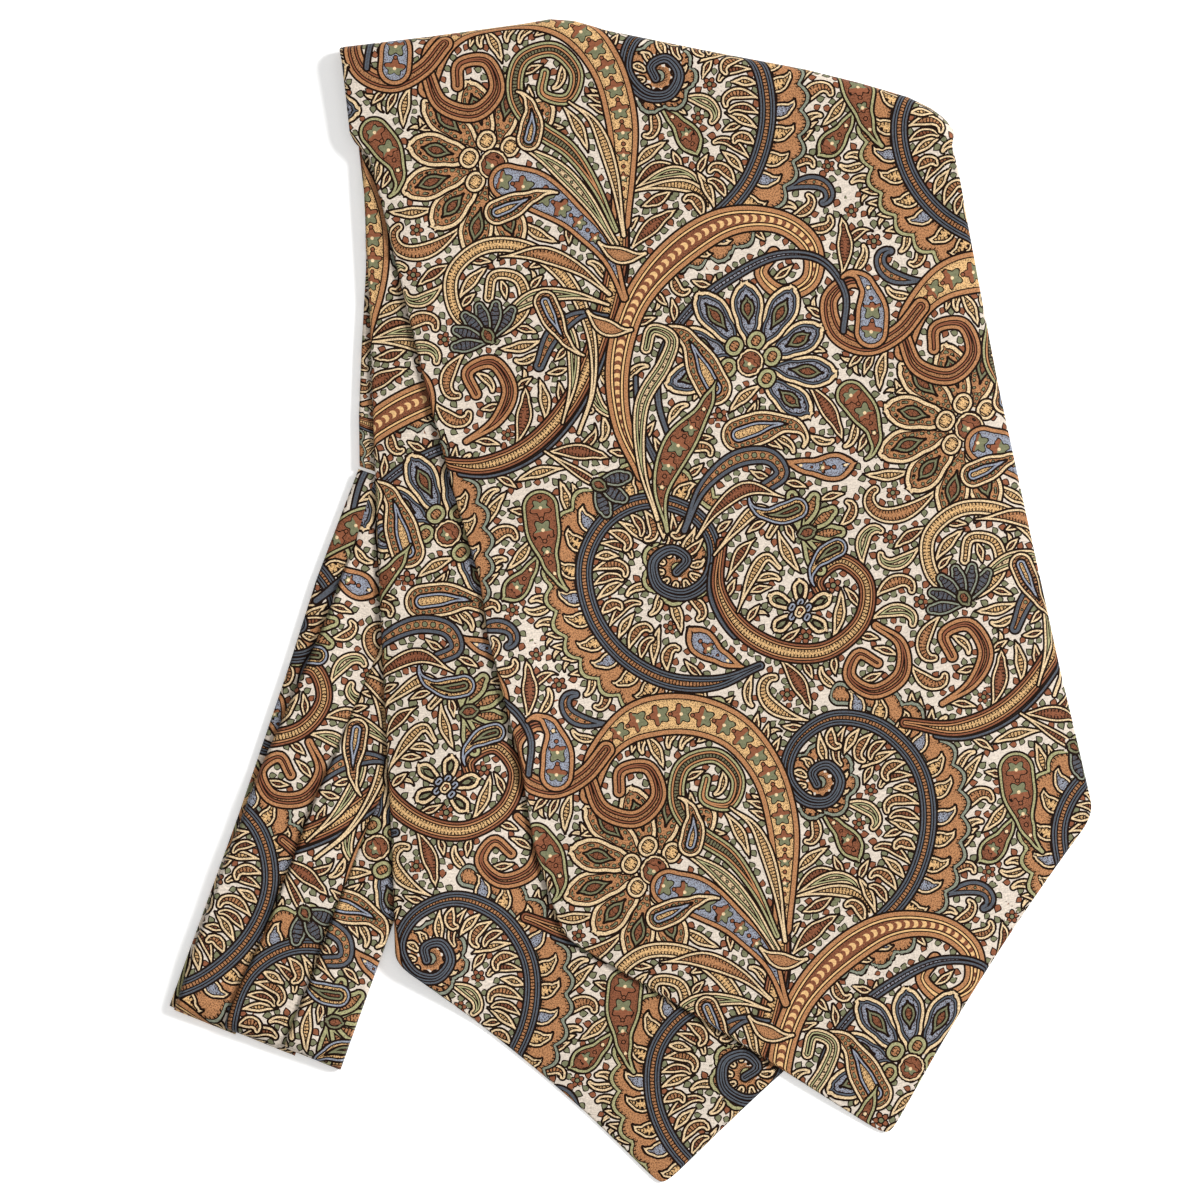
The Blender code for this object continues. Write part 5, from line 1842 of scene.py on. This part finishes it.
def twill_group():
    """Ridges one way and fine threads the other, slubs drawn out across the cloth, and dots."""
    tree, s, entry, leave = new_group(
        "twill", (("Cloth", "NodeSocketVector"),),
        (("Height", "NodeSocketFloat"), ("Speckle", "NodeSocketFloat"), ("Thread", "NodeSocketFloat")))
    across, up, _ = s.split(entry["Cloth"])
    ridge = s.maths("SINE", s.times(s.add(across, up), 2 * pi / RIDGE))
    weft = s.maths("SINE", s.times(s.less(up, across), 2 * pi / WEFT))
    blotch = s.node("ShaderNodeTexNoise", noise_dimensions="2D")
    s.join(entry["Cloth"], blotch.inputs["Vector"])
    s.join(BLOTCH_SCALE, blotch.inputs["Scale"])
    s.join(2.0, blotch.inputs["Detail"])
    stretched = s.node("ShaderNodeMapping")
    s.join(entry["Cloth"], stretched.inputs["Vector"])
    s.join(SLUB_STRETCH, stretched.inputs["Scale"])
    slub = s.node("ShaderNodeTexNoise", noise_dimensions="2D")
    s.join(stretched.outputs[0], slub.inputs["Vector"])
    s.join(1.0, slub.inputs["Scale"])
    s.join(1.0, slub.inputs["Detail"])
    slubs, blotches = slub.outputs["Fac"], blotch.outputs["Fac"]
    threads = s.add(s.times(ridge, 0.5), s.times(weft, 0.2))
    s.join(s.add(threads, s.times(slubs, 1.2)), leave["Height"])
    dots = s.node("ShaderNodeTexVoronoi", voronoi_dimensions="2D")
    s.join(entry["Cloth"], dots.inputs["Vector"])
    s.join(DOT_SCALE, dots.inputs["Scale"])
    s.join(s.below(dots.outputs["Distance"], DOT_SIZE), leave["Speckle"])
    s.join(s.add(s.times(blotches, 0.6), s.times(slubs, 0.4)), leave["Thread"])
    return tree


twill_tree = twill_group()

# %% The silk
TONE_LOW, TONE_SPAN = 0.39, 1.25           # brightness of the dyes from thread to thread
ROUGHNESS_SPAN = 0.14


def silk_material(name, roughness, sheen):
    """Printed silk: ground, buds, three layers of strokes, thread tone, then the shader with
    a soft sheen. Tone and roughness vary slowly over the cloth."""
    material = bpy.data.materials.new(name)
    material.use_nodes = True
    s = Sheet(material.node_tree)
    shader = material.node_tree.nodes["Principled BSDF"]

    def attribute(label):
        return s.node("ShaderNodeAttribute", attribute_name=label).outputs["Vector"]

    twill = s.node("ShaderNodeGroup", node_tree=twill_tree)
    s.join(attribute("cloth"), twill.inputs["Cloth"])
    colour = s.tint(s.times(twill.outputs["Thread"], 0.12), DYES["cream"], DYES["straw"])
    group = s.node("ShaderNodeGroup", node_tree=bud_tree)
    s.join(attribute("bud"), group.inputs["Place"])
    s.join(colour, group.inputs["Under"])
    colour = group.outputs["Color"]
    for layer in reversed(range(LAYERS)):
        group = s.node("ShaderNodeGroup", node_tree=stroke_tree)
        s.join(attribute(f"stroke_{layer}_where"), group.inputs["Where"])
        s.join(attribute(f"stroke_{layer}_what"), group.inputs["What"])
        s.join(twill.outputs["Speckle"], group.inputs["Speckle"])
        s.join(colour, group.inputs["Under"])
        colour = group.outputs["Color"]
    tone = s.node("ShaderNodeHueSaturation")
    s.join(colour, tone.inputs["Color"])
    s.join(s.add(TONE_LOW, s.times(twill.outputs["Thread"], TONE_SPAN)), tone.inputs["Value"])
    s.join(tone.outputs["Color"], shader.inputs["Base Color"])
    s.join(s.add(roughness - ROUGHNESS_SPAN / 2, s.times(twill.outputs["Thread"], ROUGHNESS_SPAN)),
           shader.inputs["Roughness"])
    bump = s.node("ShaderNodeBump")
    s.join(0.16, bump.inputs["Strength"])
    s.join(0.1 * MM, bump.inputs["Distance"])
    s.join(twill.outputs["Height"], bump.inputs["Height"])
    s.join(bump.outputs["Normal"], shader.inputs["Normal"])
    s.join(sheen, shader.inputs["Sheen Weight"])
    s.join(0.35, shader.inputs["Sheen Roughness"])
    s.join(0.06, shader.inputs["Specular IOR Level"])
    return material

# %% [markdown]
# # Making the pieces
#
# Every piece is one mesh with the cloth place and the print's numbers on its face corners,
# and it stands for the plain solids of the same stretch.

# %% A piece from faces
def new_piece(name, points, faces, flat, print_offset, material):
    """Points in millimetres to a mesh in metres; faces with -1 as triangles. print_offset
    moves the piece's cloth places to where it was cut from the printed silk."""
    corner = faces >= 0
    total = corner.sum(1)
    mesh = bpy.data.meshes.new(name)
    mesh.vertices.add(len(points))
    mesh.vertices.foreach_set("co", (points * MM).astype(np.float32).ravel())
    mesh.loops.add(int(total.sum()))
    mesh.loops.foreach_set("vertex_index", faces[corner].astype(np.int32))
    mesh.polygons.add(len(faces))
    starts = np.concatenate([[0], np.cumsum(total)[:-1]])
    mesh.polygons.foreach_set("loop_start", starts.astype(np.int32))
    mesh.update(calc_edges=True)
    flat = flat + np.array(print_offset)
    where, what = lay_print(flat)
    layers = {"cloth": np.concatenate([flat, np.zeros_like(flat[..., :1])], axis=-1),
              "bud": lay_buds(flat)}
    for layer in range(LAYERS):
        layers[f"stroke_{layer}_where"], layers[f"stroke_{layer}_what"] = where[layer], what[layer]
    for label, values in layers.items():
        attribute = mesh.attributes.new(label, "FLOAT_VECTOR", "CORNER")
        attribute.data.foreach_set("vector", values[corner].astype(np.float32).ravel())
    mesh.polygons.foreach_set("use_smooth", np.ones(len(faces), bool))
    mesh.validate()
    mesh.materials.append(material)
    piece = bpy.data.objects.new(name, mesh)
    bpy.context.scene.collection.objects.link(piece)
    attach(piece, "root")
    print(name, len(faces), "faces,", int((total - 2).sum()), "triangles")
    return piece


silk = silk_material("printed_silk", 0.52, 0.05)
band_silk = silk_material("pleated_silk", 0.55, 0.04)

front = new_piece("front_blade_silk", *front_faces, (0.0, 0.0), silk)
under = new_piece("under_blade_silk", *under_faces, (71.0, 38.0), silk)
band = new_piece("neckband_silk", *joined(panels), (-20.0, 60.0), band_silk)
lower = new_piece("neckband_lower_silk", *closed_pad(lower_pad, lower_cloth), (10.0, 20.0), band_silk)
hidden = new_piece("folded_layers_silk", *closed_pad(stretch_pad, stretch_cloth), (40.0, 90.0), silk)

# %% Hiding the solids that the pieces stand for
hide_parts("front_blade")
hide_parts("under_blade")
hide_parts("neckband_upper")
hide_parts("neckband_lower")
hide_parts("folded_layers")
